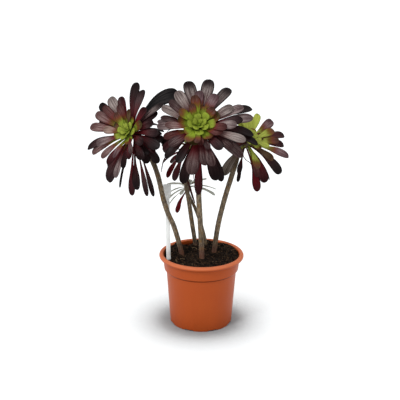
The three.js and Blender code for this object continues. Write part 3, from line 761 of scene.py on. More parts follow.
def label_sheet(label):
    """White polystyrene sheet, die-cut: smooth satin, a little smudged by handling and soil."""
    material, tree, place = new_material("polystyrene_sheet")
    smudge = add(tree, "ShaderNodeTexNoise", {"Vector": place, "Scale": 60.0, "Detail": 4.0})
    height = add(tree, "ShaderNodeSeparateXYZ", {"Vector": place}).outputs["Z"]
    low = add(tree, "ShaderNodeMapRange", {
        "Value": height, "From Min": LABEL_SPLASH[0] * MM, "From Max": LABEL_SPLASH[1] * MM,
    }, interpolation_type="SMOOTHSTEP")
    spotted = add(tree, "ShaderNodeMapRange", {"Value": smudge, "From Min": 0.48, "From Max": 0.7})
    smudged = tuple(part * LABEL_SMUDGE for part in label.sheet)
    skin = layered(tree, label.sheet, (([smudge], smudged), ([low, spotted, 0.6], label.splash)))
    satin = add(tree, "ShaderNodeMapRange", {"Value": smudge, "To Min": 0.3, "To Max": 0.5})
    bump = add(tree, "ShaderNodeBump", {"Height": smudge, "Strength": 0.05, "Distance": 0.5 * MM})
    return end_material(material, {
        "Base Color": skin, "Roughness": satin, "Normal": bump, "Specular IOR Level": 0.5,
    })


def stem_bark(stem):
    """Bark of a woody succulent stem: matt grey-brown, furrowed along its length, darker at leaf scars."""
    material, tree, place = new_material("succulent_bark")
    climb = add(tree, "ShaderNodeAttribute", attribute_name="climb").outputs["Fac"]
    scar = add(tree, "ShaderNodeAttribute", attribute_name="scar").outputs["Fac"]
    # Furrows about 1.2 mm apart and 9 mm long, blotches of 12 mm and pores of 0.5 mm
    upright = add(tree, "ShaderNodeMapping", {"Vector": place, "Scale": (820, 820, 110)})
    furrow = add(tree, "ShaderNodeTexNoise", {"Vector": upright, "Scale": 1.0, "Detail": 3.0})
    blotch = add(tree, "ShaderNodeTexNoise", {"Vector": place, "Scale": 85.0, "Detail": 3.0})
    pore = add(tree, "ShaderNodeTexNoise", {"Vector": place, "Scale": 1900.0, "Detail": 2.0})
    dark = add(tree, "ShaderNodeMapRange", {
        "Value": furrow, "From Min": 0.62, "From Max": 0.38, "To Max": 0.85,
    }, interpolation_type="SMOOTHSTEP")
    patch = add(tree, "ShaderNodeMapRange", {
        "Value": blotch, "From Min": 0.5, "From Max": 0.68, "To Max": 0.6,
    }, interpolation_type="SMOOTHSTEP")
    scarred = add(tree, "ShaderNodeMath", [scar, 0.8], operation="MULTIPLY")
    darkest = add(tree, "ShaderNodeMath", [dark, patch, scarred], operation="MAXIMUM")
    # Ochre patches where the bark has worn, a reddish foot where soil keeps it damp, then young bark
    # towards the head and the green growing tip
    worn = add(tree, "ShaderNodeMapRange", {
        "Value": blotch, "From Min": 0.47, "From Max": 0.36, "To Max": 0.7,
    })
    damp = add(tree, "ShaderNodeMapRange", {
        "Value": climb, "From Min": 0.27, "From Max": 0.17, "To Max": 0.65,
    }, interpolation_type="SMOOTHSTEP")
    young = add(tree, "ShaderNodeMapRange", {
        "Value": climb, "From Min": 0.55, "From Max": 1.0, "To Max": 0.8,
    }, interpolation_type="SMOOTHSTEP")
    budding = add(tree, "ShaderNodeMapRange", {"Value": climb, "From Min": 1.5, "From Max": 1.8})
    skin = layered(tree, stem.bark, (
        ([darkest], stem.bark_dark), ([worn], stem.ochre), ([damp], stem.foot), ([young], stem.shoot),
        ([budding], stem.bud),
    ))
    relief = add(tree, "ShaderNodeMix", {"Factor": 0.35, "A": furrow, "B": pore}, data_type="FLOAT")
    bump = add(tree, "ShaderNodeBump", {"Height": relief, "Strength": 0.7, "Distance": 0.6 * MM})
    return end_material(material, {
        "Base Color": skin, "Roughness": 0.78, "Specular IOR Level": 0.35, "Normal": bump,
    })


def leaf_skin(name, leaf, fresh, pale, margin):
    """Waxy skin of an aeonium leaf: satin, near-black to wine red, with a grey-pink painted sheen on the
    upper face.

    The blade's own coordinates give its green and wine-red root, its painted sheen, and its dark tip and
    margins.
    """
    material, tree, place = new_material(name)
    across, along, face = add(tree, "ShaderNodeSeparateXYZ", {
        "Vector": add(tree, "ShaderNodeAttribute", attribute_name="blade").outputs["Vector"],
    }).outputs
    green, painted_sheen, wine = add(tree, "ShaderNodeSeparateXYZ", {
        "Vector": add(tree, "ShaderNodeAttribute", attribute_name="tone").outputs["Vector"],
    }).outputs
    own = add(tree, "ShaderNodeAttribute", attribute_name="own").outputs["Color"]
    draw, yellow, tipped = [
        add(tree, "ShaderNodeAttribute", attribute_name=kept).outputs["Fac"]
        for kept in ("draw", "yellow", "tipped")
    ]
    # Streaks run the length of the blade, about a tenth of its width apart
    lane = add(tree, "ShaderNodeCombineXYZ", {
        "X": add(tree, "ShaderNodeMath", [across, 3.0], operation="MULTIPLY"),
        "Y": add(tree, "ShaderNodeMath", [along, 1.3], operation="MULTIPLY"),
        "Z": add(tree, "ShaderNodeMath", [draw, DRAW_REACH], operation="MULTIPLY"),
    })
    streak = add(tree, "ShaderNodeTexNoise", {"Vector": lane, "Scale": 2.2, "Detail": 4.0})
    # Wax grains are about 0.2 mm, drawn here at 1 mm so that they show
    wax = add(tree, "ShaderNodeTexNoise", {"Vector": place, "Scale": 1000.0, "Detail": 2.0})
    side = add(tree, "ShaderNodeMath", {0: across}, operation="ABSOLUTE")
    edge = add(tree, "ShaderNodeMapRange", {
        "Value": side, "From Min": 0.62, "From Max": 1.0,
    }, interpolation_type="SMOOTHSTEP")
    tip = add(tree, "ShaderNodeMapRange", {
        "Value": along, "From Min": 0.74, "From Max": 0.97,
    }, interpolation_type="SMOOTHSTEP")
    rim = add(tree, "ShaderNodeMath", [edge, tip], operation="MAXIMUM")
    faded = add(tree, "ShaderNodeMapRange", {"Value": tipped, "To Min": 0.4, "To Max": 1.0})
    darkened = add(tree, "ShaderNodeMath", [rim, faded], operation="MULTIPLY")
    inner = add(tree, "ShaderNodeMath", [1.0, darkened], operation="SUBTRACT")
    upper = add(tree, "ShaderNodeMapRange", {
        "Value": face, "From Min": -0.2, "From Max": 0.4,
    }, interpolation_type="SMOOTHSTEP")
    mottled = add(tree, "ShaderNodeMapRange", {
        "Value": streak, "From Min": 0.3, "From Max": 0.7, "To Min": 0.45, "To Max": 1.25,
    })
    body = add(tree, "ShaderNodeVectorMath", {0: own, "Scale": mottled}, operation="SCALE")
    # Wine red from the root to the middle
    rootward = add(tree, "ShaderNodeMapRange", {
        "Value": along, "From Min": 0.4, "From Max": 0.8, "To Min": 1.0, "To Max": 0.12,
    }, interpolation_type="SMOOTHSTEP")
    # The painted sheen starts above the root, lower on a leaf with a dark tip, and fades before the tip and
    # margins
    opened = add(tree, "ShaderNodeMapRange", {
        "Value": along,
        "From Min": add(tree, "ShaderNodeMapRange", {"Value": tipped, "To Min": 0.4, "To Max": 0.26}),
        "From Max": add(tree, "ShaderNodeMapRange", {"Value": tipped, "To Min": 0.84, "To Max": 0.64}),
    }, interpolation_type="SMOOTHSTEP")
    grains = add(tree, "ShaderNodeMapRange", {
        "Value": add(tree, "ShaderNodeMix", {"Factor": 0.35, "A": streak, "B": wax}, data_type="FLOAT"),
        "From Min": 0.42, "From Max": 0.62, "To Min": 0.08, "To Max": 0.9,
    })
    # Wine red, then the painted sheen on the upper face, then nearly black tips and margins
    body = layered(tree, body, (
        ([wine, rootward], leaf.wine),
        ([painted_sheen, upper, opened, inner, grains], leaf.painted_sheen),
        ([darkened, margin], leaf.coal),
    ))
    # Green up to its reach, then amber and rust before the leaf's own colour
    past = add(tree, "ShaderNodeMath", [along, green], operation="SUBTRACT")
    wander = add(tree, "ShaderNodeMath", [streak, 0.5], operation="SUBTRACT")
    stage = add(tree, "ShaderNodeMath", {
        0: add(tree, "ShaderNodeMath", [past, 2.6], operation="MULTIPLY"),
        1: add(tree, "ShaderNodeMath", [wander, 0.9], operation="MULTIPLY"),
    }, operation="ADD")
    ramp = add(tree, "ShaderNodeValToRGB", {"Fac": stage})
    for stop, position, laid in zip(ramp.color_ramp.elements, (0.25, 0.75), (leaf.amber, leaf.rust)):
        stop.position = position
        stop.color = (*laid, 1)
    # Painted shade: near the root, down between the heart leaves, the green is darkened, and each leaf is
    # lined with the same olive, partly its margin's colour and partly painted shade
    painted_root_shade = add(tree, "ShaderNodeMapRange", {
        "Value": along, "From Min": 0.36, "From Max": 0.0, "To Min": 0.0, "To Max": 0.35,
    }, interpolation_type="SMOOTHSTEP")
    start = layered(tree, fresh, (([yellow], pale), ([painted_root_shade], leaf.painted_shade_green)))
    veined = add(tree, "ShaderNodeMapRange", {
        "Value": streak, "From Min": 0.35, "From Max": 0.65, "To Min": 0.72, "To Max": 1.2,
    })
    start = add(tree, "ShaderNodeVectorMath", {0: start, "Scale": veined}, operation="SCALE")
    # The olive line along each heart leaf's margin and tip is partly its margin's colour and partly painted
    # shade
    outline = add(tree, "ShaderNodeMath", {
        0: add(tree, "ShaderNodeMapRange", {"Value": side, "From Min": 0.82, "From Max": 0.98}),
        1: add(tree, "ShaderNodeMapRange", {"Value": along, "From Min": 0.94, "From Max": 1.0}),
    }, operation="MAXIMUM")
    ripened = add(tree, "ShaderNodeMapRange", {
        "Value": stage, "From Min": 0.0, "From Max": 0.4,
    }, interpolation_type="SMOOTHSTEP")
    root = layered(tree, start, (([outline, margin, 0.8], leaf.painted_shade_green), ([ripened], ramp.outputs["Color"])))
    fresh_part = add(tree, "ShaderNodeMapRange", {
        "Value": stage, "From Min": 1.0, "From Max": 0.5,
    }, interpolation_type="SMOOTHSTEP")
    body = add(tree, "ShaderNodeMix", {"Factor": fresh_part, "A": body, "B": root}, data_type="RGBA")
    satin = add(tree, "ShaderNodeMapRange", {
        "Value": wax, "From Min": 0.3, "From Max": 0.7, "To Min": 0.3, "To Max": 0.44,
    })
    relief = add(tree, "ShaderNodeMix", {"Factor": 0.45, "A": streak, "B": wax}, data_type="FLOAT")
    bump = add(tree, "ShaderNodeBump", {"Height": relief, "Strength": 0.35, "Distance": 0.5 * MM})
    return end_material(material, {
        "Base Color": body, "Roughness": satin, "Normal": bump, "Specular IOR Level": 0.08,
    })


def dry_leaf(leaf):
    """Withered leaf: matt, wrinkled along its length, brown to black."""
    material, tree, place = new_material("withered_leaf")
    # Wrinkles about 1 mm apart
    wrinkle = add(tree, "ShaderNodeTexNoise", {"Vector": place, "Scale": 900.0, "Detail": 3.0})
    tone = add(tree, "ShaderNodeMapRange", {"Value": wrinkle, "From Min": 0.4, "From Max": 0.7})
    body = add(tree, "ShaderNodeMix", {"Factor": tone, "A": leaf.coal, "B": leaf.rust}, data_type="RGBA")
    bump = add(tree, "ShaderNodeBump", {"Height": wrinkle, "Strength": 0.6, "Distance": 0.4 * MM})
    return end_material(material, {
        "Base Color": body, "Roughness": 0.7, "Specular IOR Level": 0.2, "Normal": bump,
    })


def white_paper(stage):
    """Seamless white studio paper: matt, glowing so that it stays white, with a painted contact shadow."""
    material, tree, place = new_material("studio_paper")
    tooth = add(tree, "ShaderNodeTexNoise", {"Vector": place, "Scale": 700.0, "Detail": 2.0})
    bump = add(tree, "ShaderNodeBump", {"Height": tooth, "Strength": 0.02, "Distance": 0.2 * MM})
    # Painted contact shadow: the glow fades where something stands near
    open_sky = add(tree, "ShaderNodeAmbientOcclusion", {"Distance": PAINTED_SHADOW_REACH * MM}).outputs["AO"]
    open_share = add(tree, "ShaderNodeMapRange", {"Value": open_sky, "From Min": 0.67, "From Max": 0.925})
    softened = add(tree, "ShaderNodeMath", [open_share, 0.7], operation="POWER")
    glow_outside_painted_shadow = add(tree, "ShaderNodeMath", [softened, stage.glow], operation="MULTIPLY")
    return end_material(material, {
        "Base Color": stage.paper, "Roughness": 0.9, "Specular IOR Level": 0.1, "Normal": bump,
        "Emission Color": (1, 1, 1, 1), "Emission Strength": glow_outside_painted_shadow,
    })


def rounded(corners):
    """Points along a line with its corners rounded, from corners given as two coordinates and a size."""
    points = []
    for i, (x, y, size) in enumerate(corners):
        here = Vector((x, y))
        if not size:
            points.append(here)
            continue
        before = Vector(corners[i - 1][:2])
        after = Vector(corners[(i + 1) % len(corners)][:2])
        start = here + (before - here).normalized() * size
        stop = here + (after - here).normalized() * size
        for k in range(CORNER_STEPS + 1):
            share = k / CORNER_STEPS
            points.append(start.lerp(here, share).lerp(here.lerp(stop, share), share))
    return points


def inner_radius(height, wall):
    """Radius of the pot's inside at a height between its floor and its lip."""
    if height <= BODY_TOP_HEIGHT:
        return mix(BASE_RADIUS, BODY_TOP_RADIUS, height / BODY_TOP_HEIGHT) - wall
    collar_top = POT_HIGH.z / MM - 2 * LIP_ROUND
    share = max((height - COLLAR_FOOT_HEIGHT) / (collar_top - COLLAR_FOOT_HEIGHT), 0)
    return mix(COLLAR_FOOT_RADIUS, COLLAR_TOP_RADIUS, share) - wall


def pot_section(pot):
    """Half of the pot's section, from under the middle of its floor round the lip to the floor's top."""
    wall = pot.wall / MM
    centre = Vector((pot.lip_diameter / MM / 2 - LIP_ROUND, pot.height / MM - LIP_ROUND))
    start = -math.acos((COLLAR_TOP_RADIUS - centre.x) / LIP_ROUND)
    lip = []
    for i in range(LIP_STEPS + 1):
        angle = mix(start, math.pi, i / LIP_STEPS)
        lip.append((centre.x + LIP_ROUND * math.cos(angle), centre.y + LIP_ROUND * math.sin(angle), 0))
    collar_top = pot.height / MM - 2 * LIP_ROUND
    section = [
        (0, 0, 0),
        (BASE_RADIUS, 0, BASE_ROUND),
        (BODY_TOP_RADIUS, BODY_TOP_HEIGHT, STEP_ROUND),
        (COLLAR_FOOT_RADIUS, COLLAR_FOOT_HEIGHT, STEP_ROUND),
        *lip,
        (inner_radius(collar_top, wall), collar_top, INSIDE_ROUND),
        (inner_radius(COLLAR_FOOT_HEIGHT, wall), COLLAR_FOOT_HEIGHT, INSIDE_ROUND),
        (inner_radius(BODY_TOP_HEIGHT, wall), BODY_TOP_HEIGHT, INSIDE_ROUND),
        (inner_radius(FLOOR, wall), FLOOR, FLOOR_ROUND),
        (0, FLOOR, 0),
    ]
    return rounded(section)


def turned(name, section, sides):
    """A closed skin turned round the Z axis from a section that starts and ends on it."""
    vertices = [(0, 0, section[0][1])]
    for radius, height in section[1:-1]:
        for j in range(sides):
            angle = 2 * math.pi * j / sides
            vertices.append((radius * math.cos(angle), radius * math.sin(angle), height))
    vertices.append((0, 0, section[-1][1]))
    rings = len(section) - 2
    last = len(vertices) - 1
    faces = []
    for j in range(sides):
        after = (j + 1) % sides
        faces.append((0, 1 + after, 1 + j))
        for i in range(rings - 1):
            low = 1 + i * sides
            faces.append((low + j, low + after, low + sides + after, low + sides + j))
        top = 1 + (rings - 1) * sides
        faces.append((top + j, top + after, last))
    return new_piece(name, vertices, [], faces)


def drain_cutter():
    """The eight channels and drain holes as one body to cut away."""
    body = bmesh.new()
    for i in range(CHANNELS):
        turn = Matrix.Rotation((i + 0.5) * 2 * math.pi / CHANNELS, 4, "Z")
        ends = []
        for radius in (CHANNEL_START_RADIUS, CHANNEL_START_RADIUS + CHANNEL_LENGTH):
            for x, z in (
                (-CHANNEL_FOOT_WIDTH / 2, -1), (CHANNEL_FOOT_WIDTH / 2, -1),
                (CHANNEL_TOP_WIDTH / 2, CHANNEL_HEIGHT), (-CHANNEL_TOP_WIDTH / 2, CHANNEL_HEIGHT),
            ):
                ends.append(body.verts.new(turn @ Vector((x, -radius, z)) * MM))
        for face in ((0, 1, 2, 3), (7, 6, 5, 4), (0, 4, 5, 1), (1, 5, 6, 2), (2, 6, 7, 3), (3, 7, 4, 0)):
            body.faces.new([ends[k] for k in face])
        hole = Matrix.Translation(Vector((0, -DRAIN_CIRCLE_RADIUS, FLOOR)) * MM)
        bmesh.ops.create_cone(
            body, cap_ends=True, segments=DRAIN_SIDES, radius1=DRAIN_RADIUS * MM,
            radius2=DRAIN_RADIUS * MM, depth=2 * FLOOR * MM, matrix=turn @ hole,
        )
    bmesh.ops.recalc_face_normals(body, faces=body.faces)
    cutter = new_piece("drain_cutter", [], [], [])
    body.to_mesh(cutter.data)
    body.free()
    return cutter


def soil_height(x, y):
    """Height of the soil's surface: lumps, the heap at the wall and the hollow."""
    lumps = SOIL_LUMPS * math.sin(x / SOIL_LUMP_SPACING[0] + 1) * math.cos(y / SOIL_LUMP_SPACING[1])
    small_lumps = SOIL_SMALL_LUMPS * math.sin((x + 2 * y) / SOIL_SMALL_LUMP_SPACING)
    heap = SOIL_HEAP * eased(math.hypot(x, y), *SOIL_HEAP_SPAN) * eased(y, *SOIL_HEAP_FRONT)
    away = math.hypot(x - SOIL_HOLLOW_PLACE[0], y - SOIL_HOLLOW_PLACE[1])
    hollow = SOIL_HOLLOW * (1 - eased(away, 0, SOIL_HOLLOW_RADIUS))
    return SOIL_LEVEL + lumps + small_lumps + heap - hollow


def facing_up(tree):
    """Whether the surface faces up enough for loose soil to lie on it."""
    normal = add(tree, "GeometryNodeInputNormal")
    rise = add(tree, "ShaderNodeSeparateXYZ", {"Vector": normal}).outputs["Z"]
    return add(tree, "FunctionNodeCompare", {"A": rise, "B": SOIL_FACING}, operation="GREATER_THAN")


def soil_tree():
    """Roughens the soil's surface."""
    tree, given = new_tree("Soil surface", {"Relief": 3 * MM, "Material": None})
    place = add(tree, "GeometryNodeInputPosition")
    clod = add(tree, "ShaderNodeTexNoise", {
        "Vector": place, "Scale": 140.0, "Detail": 4.0, "Roughness": 0.65,
    })
    height = add(tree, "ShaderNodeMath", [clod, 0.5], operation="SUBTRACT")
    rise = add(tree, "ShaderNodeMath", [height, given["Relief"], 2.0], operation="MULTIPLY")
    lift = add(tree, "ShaderNodeCombineXYZ", {"Z": rise})
    rough = add(tree, "GeometryNodeSetPosition", {
        "Geometry": given["Geometry"], "Selection": facing_up(tree), "Offset": lift,
    })
    return end_tree(tree, rough, given["Material"], True)


def scatter_tree():
    """Strews crumbs, or curved fibres, over the soil's surface."""
    tree, given = new_tree("Soil scatter", {
        "Density": CRUMB_DENSITY, "Smallest": SMALLEST_CRUMB * MM, "Largest": 5 * MM, "Thickness": 0.7,
        "Fibres": 0.0, "Roughness": 1.3, "Palest": 1.0, "Seed": 0, "Material": None,
    })
    place = add(tree, "GeometryNodeInputPosition")
    inside = add(tree, "FunctionNodeCompare", {
        "A": axis_distance(tree, place), "B": STREWN_RADIUS * MM,
    }, operation="LESS_THAN")
    both = add(tree, "FunctionNodeBooleanMath", [inside, facing_up(tree)], operation="AND")
    points = add(tree, "GeometryNodeDistributePointsOnFaces", {
        "Mesh": given["Geometry"], "Selection": both, "Density": given["Density"], "Seed": given["Seed"],
    })
    crumb = add(tree, "GeometryNodeMeshIcoSphere", {"Radius": 0.5, "Subdivisions": 2})
    bend = add(tree, "GeometryNodeCurveQuadraticBezier", {
        "Resolution": 6, "Start": (-0.5, 0, 0.02), "Middle": (0.1, 0.35, 0.2), "End": (0.5, -0.05, 0.04),
    })
    thread = add(tree, "GeometryNodeCurvePrimitiveCircle", {"Resolution": 5, "Radius": 0.03})
    fibre = add(tree, "GeometryNodeCurveToMesh", {"Curve": bend, "Profile Curve": thread, "Fill Caps": True})
    pick = add(tree, "FunctionNodeCompare", {"A": given["Fibres"], "B": 0.5}, operation="GREATER_THAN")
    blank = add(tree, "GeometryNodeSwitch", {
        "Switch": pick, "False": crumb, "True": fibre,
    }, input_type="GEOMETRY")
    draws = []
    for number in range(3):
        seed = add(tree, "ShaderNodeMath", {0: given["Seed"], 1: 11.0 + number}, operation="ADD")
        draws.append(add(tree, "FunctionNodeRandomValue", {"Seed": seed}, data_type="FLOAT"))
    few = add(tree, "ShaderNodeMath", [draws[0], 2.6], operation="POWER")
    size = add(tree, "ShaderNodeMix", {
        "Factor": few, "A": given["Smallest"], "B": given["Largest"],
    }, data_type="FLOAT")
    slimness = add(tree, "ShaderNodeMapRange", {"Value": draws[1], "To Min": 0.55, "To Max": 1.0})
    shape = add(tree, "ShaderNodeCombineXYZ", {
        "X": size,
        "Y": add(tree, "ShaderNodeMath", [size, slimness], operation="MULTIPLY"),
        "Z": add(tree, "ShaderNodeMath", [size, given["Thickness"]], operation="MULTIPLY"),
    })
    turn = add(tree, "FunctionNodeRandomValue", {
        "Min": (-0.5, -0.5, 0), "Max": (0.5, 0.5, 6.28), "Seed": given["Seed"],
    }, data_type="FLOAT_VECTOR")
    placed = add(tree, "GeometryNodeInstanceOnPoints", {
        "Points": points, "Instance": blank, "Rotation": turn, "Scale": shape,
    })
    rarely_pale = add(tree, "ShaderNodeMath", [draws[2], 3.6], operation="POWER")
    tone = add(tree, "ShaderNodeMath", [rarely_pale, given["Palest"]], operation="MULTIPLY")
    toned = add(tree, "GeometryNodeStoreNamedAttribute", {
        "Geometry": placed, "Name": "dryness", "Value": tone,
    }, data_type="FLOAT", domain="INSTANCE")
    real = add(tree, "GeometryNodeRealizeInstances", {"Geometry": toned})
    # Each crumb gets its own broken outline
    lump = add(tree, "ShaderNodeTexNoise", {"Vector": place, "Scale": 700.0, "Detail": 2.0})
    shift = add(tree, "ShaderNodeVectorMath", {
        0: lump.outputs["Color"], 1: (0.5, 0.5, 0.5),
    }, operation="SUBTRACT")
    rough = add(tree, "ShaderNodeMath", [given["Roughness"], MM], operation="MULTIPLY")
    offset = add(tree, "ShaderNodeVectorMath", {0: shift, "Scale": rough}, operation="SCALE")
    broken = add(tree, "GeometryNodeSetPosition", {"Geometry": real, "Offset": offset})
    return end_tree(tree, broken, given["Material"], False)


def stem_tree():
    """Sweeps a stem along a line, roughens its bark and sets leaf scars round it in a spiral."""
    tree, given = new_tree("Stem and scars", {
        "Step": STEM_STEP * MM, "Sides": STEM_SIDES, "Relief": 0.5 * MM, "Scar spacing": 4.4 * MM, "Seed": 0,
        "Material": None,
    })
    girth = add(tree, "GeometryNodeInputNamedAttribute", {"Name": "girth"}, data_type="FLOAT")
    line = add(tree, "GeometryNodeMeshToCurve", {"Mesh": given["Geometry"]})
    line = add(tree, "GeometryNodeCurveSplineType", {"Curve": line}, spline_type="CATMULL_ROM")
    line = add(tree, "GeometryNodeResampleCurve", {"Curve": line, "Length": given["Step"]}, mode="LENGTH")
    ring = add(tree, "GeometryNodeCurvePrimitiveCircle", {"Resolution": given["Sides"], "Radius": 1.0})
    tube = add(tree, "GeometryNodeCurveToMesh", {
        "Curve": line, "Profile Curve": ring, "Scale": girth, "Fill Caps": True,
    })
    place = add(tree, "GeometryNodeInputPosition")
    normal = add(tree, "GeometryNodeInputNormal")
    bark = add(tree, "ShaderNodeTexNoise", {"Vector": place, "Scale": 210.0, "Detail": 3.0})
    height = add(tree, "ShaderNodeMath", [bark, 0.5], operation="SUBTRACT")
    rise = add(tree, "ShaderNodeMath", [height, given["Relief"], 2.0], operation="MULTIPLY")
    offset = add(tree, "ShaderNodeVectorMath", {0: normal, "Scale": rise}, operation="SCALE")
    rough = add(tree, "GeometryNodeSetPosition", {"Geometry": tube, "Offset": offset})
    spots = add(tree, "GeometryNodeCurveToPoints", {
        "Curve": line, "Length": given["Scar spacing"],
    }, mode="LENGTH")
    chance = add(tree, "FunctionNodeRandomValue", {"Seed": given["Seed"]}, data_type="FLOAT")
    angle = add(tree, "ShaderNodeMath", {
        0: add(tree, "GeometryNodeInputIndex"), 1: math.radians(GOLDEN_ANGLE), 2: chance,
    }, operation="MULTIPLY_ADD")
    turn = add(tree, "FunctionNodeAxisAngleToRotation", {"Axis": (0, 0, 1), "Angle": angle})
    facing = add(tree, "FunctionNodeRotateRotation", {
        "Rotation": spots.outputs["Rotation"], "Rotate By": turn,
    }, rotation_space="LOCAL")
    lens = add(tree, "GeometryNodeMeshUVSphere", {"Segments": 8, "Rings": 6, "Radius": 1.0})
    lens = add(tree, "GeometryNodeTransform", {
        "Geometry": lens, "Translation": (SCAR_REACH, 0, 0), "Scale": SCAR_SHAPE,
    })
    lens = add(tree, "GeometryNodeStoreNamedAttribute", {
        "Geometry": lens, "Name": "scar", "Value": 1.0,
    }, data_type="FLOAT", domain="POINT")
    varied = add(tree, "ShaderNodeMapRange", {
        "Value": chance, "To Min": SCAR_SIZES[0], "To Max": SCAR_SIZES[1],
    })
    size = add(tree, "ShaderNodeMath", [girth, varied], operation="MULTIPLY")
    scars = add(tree, "GeometryNodeInstanceOnPoints", {
        "Points": spots, "Instance": lens, "Rotation": facing, "Scale": size,
    })
    both = add(tree, "GeometryNodeJoinGeometry", {"Geometry": [rough, scars]})
    return end_tree(tree, both, given["Material"], True)


def leaf_tree():
    """Turns each point of a head into a closed leaf, bent along its midrib, dished and rounded at its tip."""
    tree, given = new_tree("Leaf blades", {
        "Stations": LEAF_STATIONS, "Sides": LEAF_SIDES, "Root thickness": 3.2 * MM,
        "Tip thickness": 1.7 * MM, "Wave": LEAF_WAVE * MM, "Groove": LEAF_GROOVE * MM, "Material": None,
    })
    blank = add(tree, "GeometryNodeMeshCylinder", {
        "Vertices": given["Sides"], "Side Segments": given["Stations"], "Radius": 1.0, "Depth": 1.0,
    })
    marked = add(tree, "GeometryNodeStoreNamedAttribute", {
        "Geometry": blank, "Name": "blade", "Value": add(tree, "GeometryNodeInputPosition"),
    }, data_type="FLOAT_VECTOR", domain="POINT")
    placed = add(tree, "GeometryNodeInstanceOnPoints", {"Points": given["Geometry"], "Instance": marked})
    blades = add(tree, "GeometryNodeRealizeInstances", {"Geometry": placed})
    root, middle, end, crosswise, blade = [
        add(tree, "GeometryNodeInputNamedAttribute", {"Name": name}, data_type="FLOAT_VECTOR")
        for name in ("root", "middle", "end", "crosswise", "blade")
    ]
    width, roll, dish, heart, hanging, draw = [
        add(tree, "GeometryNodeInputNamedAttribute", {"Name": name}, data_type="FLOAT")
        for name in ("width", "roll", "dish", "heart", "hanging", "draw")
    ]
    across, face, level = add(tree, "ShaderNodeSeparateXYZ", {"Vector": blade}).outputs
    # Stations crowd towards the rounded tip
    left = add(tree, "ShaderNodeMath", [0.5, level], operation="SUBTRACT")
    crowded = add(tree, "ShaderNodeMath", [left, TIP_CROWDING], operation="POWER")
    along = add(tree, "ShaderNodeMath", [1.0, crowded], operation="SUBTRACT")
    # The midrib is a curve of three control points
    first = add(tree, "ShaderNodeMix", {"Factor": along, "A": root, "B": middle}, data_type="VECTOR")
    second = add(tree, "ShaderNodeMix", {"Factor": along, "A": middle, "B": end}, data_type="VECTOR")
    centre = add(tree, "ShaderNodeMix", {"Factor": along, "A": first, "B": second}, data_type="VECTOR")
    chord = add(tree, "ShaderNodeVectorMath", [second, first], operation="SUBTRACT")
    forward = add(tree, "ShaderNodeVectorMath", {0: chord}, operation="NORMALIZE")
    shadow = add(tree, "ShaderNodeVectorMath", [crosswise, forward], operation="PROJECT")
    level_side = add(tree, "ShaderNodeVectorMath", [crosswise, shadow], operation="SUBTRACT")
    unit_side = add(tree, "ShaderNodeVectorMath", {0: level_side}, operation="NORMALIZE")
    side = add(tree, "ShaderNodeVectorRotate", {
        "Vector": unit_side, "Axis": forward, "Angle": roll,
    }, rotation_type="AXIS_ANGLE")
    upward = add(tree, "ShaderNodeVectorMath", [forward, side], operation="CROSS_PRODUCT")
    # The outline, rounded at the tip
    power = add(tree, "ShaderNodeMath", [along, TIP_ROUNDING], operation="POWER")
    rest = add(tree, "ShaderNodeMath", {0: power, 1: -TIP_CLOSING, 2: 1.0}, operation="MULTIPLY_ADD")
    tip = add(tree, "ShaderNodeMath", {0: rest}, operation="SQRT")
    grown, young, hung = [
        shape_curve(add(tree, "ShaderNodeFloatCurve", {"Value": along}), points)
        for points in (LEAF_OUTLINE, HEART_OUTLINE, HANGING_OUTLINE)
    ]
    mature = add(tree, "ShaderNodeMix", {"Factor": hanging, "A": grown, "B": hung}, data_type="FLOAT")
    outline = add(tree, "ShaderNodeMix", {"Factor": heart, "A": mature, "B": young}, data_type="FLOAT")
    half = add(tree, "ShaderNodeMath", [width, 0.5, outline, tip], operation="MULTIPLY")
    full = add(tree, "ShaderNodeMix", {
        "Factor": along, "A": given["Root thickness"], "B": given["Tip thickness"],
    }, data_type="FLOAT")
    wanted = add(tree, "ShaderNodeMath", [full, 0.5, tip], operation="MULTIPLY")
    most = add(tree, "ShaderNodeMath", [half, LEAF_MOST_THICK], operation="MULTIPLY")
    thick = add(tree, "ShaderNodeMath", [wanted, most], operation="MINIMUM")
    # Rise of the skin over the midrib: dished, thick in the middle, grooved above and waved at the margin
    square = add(tree, "ShaderNodeMath", [across, across], operation="MULTIPLY")
    dished = add(tree, "ShaderNodeMath", [dish, half, square], operation="MULTIPLY")
    bulge = add(tree, "ShaderNodeMath", [face, thick], operation="MULTIPLY")
    middle_only = add(tree, "ShaderNodeMapRange", {
        "Value": square, "From Min": 0.3, "From Max": 0.0,
    }, interpolation_type="SMOOTHSTEP")
    above = add(tree, "ShaderNodeMath", [face, 0.0], operation="MAXIMUM")
    grooved = add(tree, "ShaderNodeMath", [above, middle_only, given["Groove"], -1.0], operation="MULTIPLY")
    start = add(tree, "ShaderNodeMath", [draw, DRAW_REACH], operation="MULTIPLY")
    phase = add(tree, "ShaderNodeMath", {0: along, 1: WAVE_TURN, 2: start}, operation="MULTIPLY_ADD")
    swing = add(tree, "ShaderNodeMath", {0: phase}, operation="SINE")
    waved = add(tree, "ShaderNodeMath", [swing, across, square, given["Wave"]], operation="MULTIPLY")
    rise = add(tree, "ShaderNodeMath", [dished, bulge, grooved, waved], operation="ADD")
    reach = add(tree, "ShaderNodeMath", [across, half], operation="MULTIPLY")
    sideways = add(tree, "ShaderNodeVectorMath", {0: side, "Scale": reach}, operation="SCALE")
    upwards = add(tree, "ShaderNodeVectorMath", {0: upward, "Scale": rise}, operation="SCALE")
    offset = add(tree, "ShaderNodeVectorMath", [sideways, upwards], operation="ADD")
    place = add(tree, "ShaderNodeVectorMath", [centre, offset], operation="ADD")
    bent = add(tree, "GeometryNodeSetPosition", {"Geometry": blades, "Position": place})
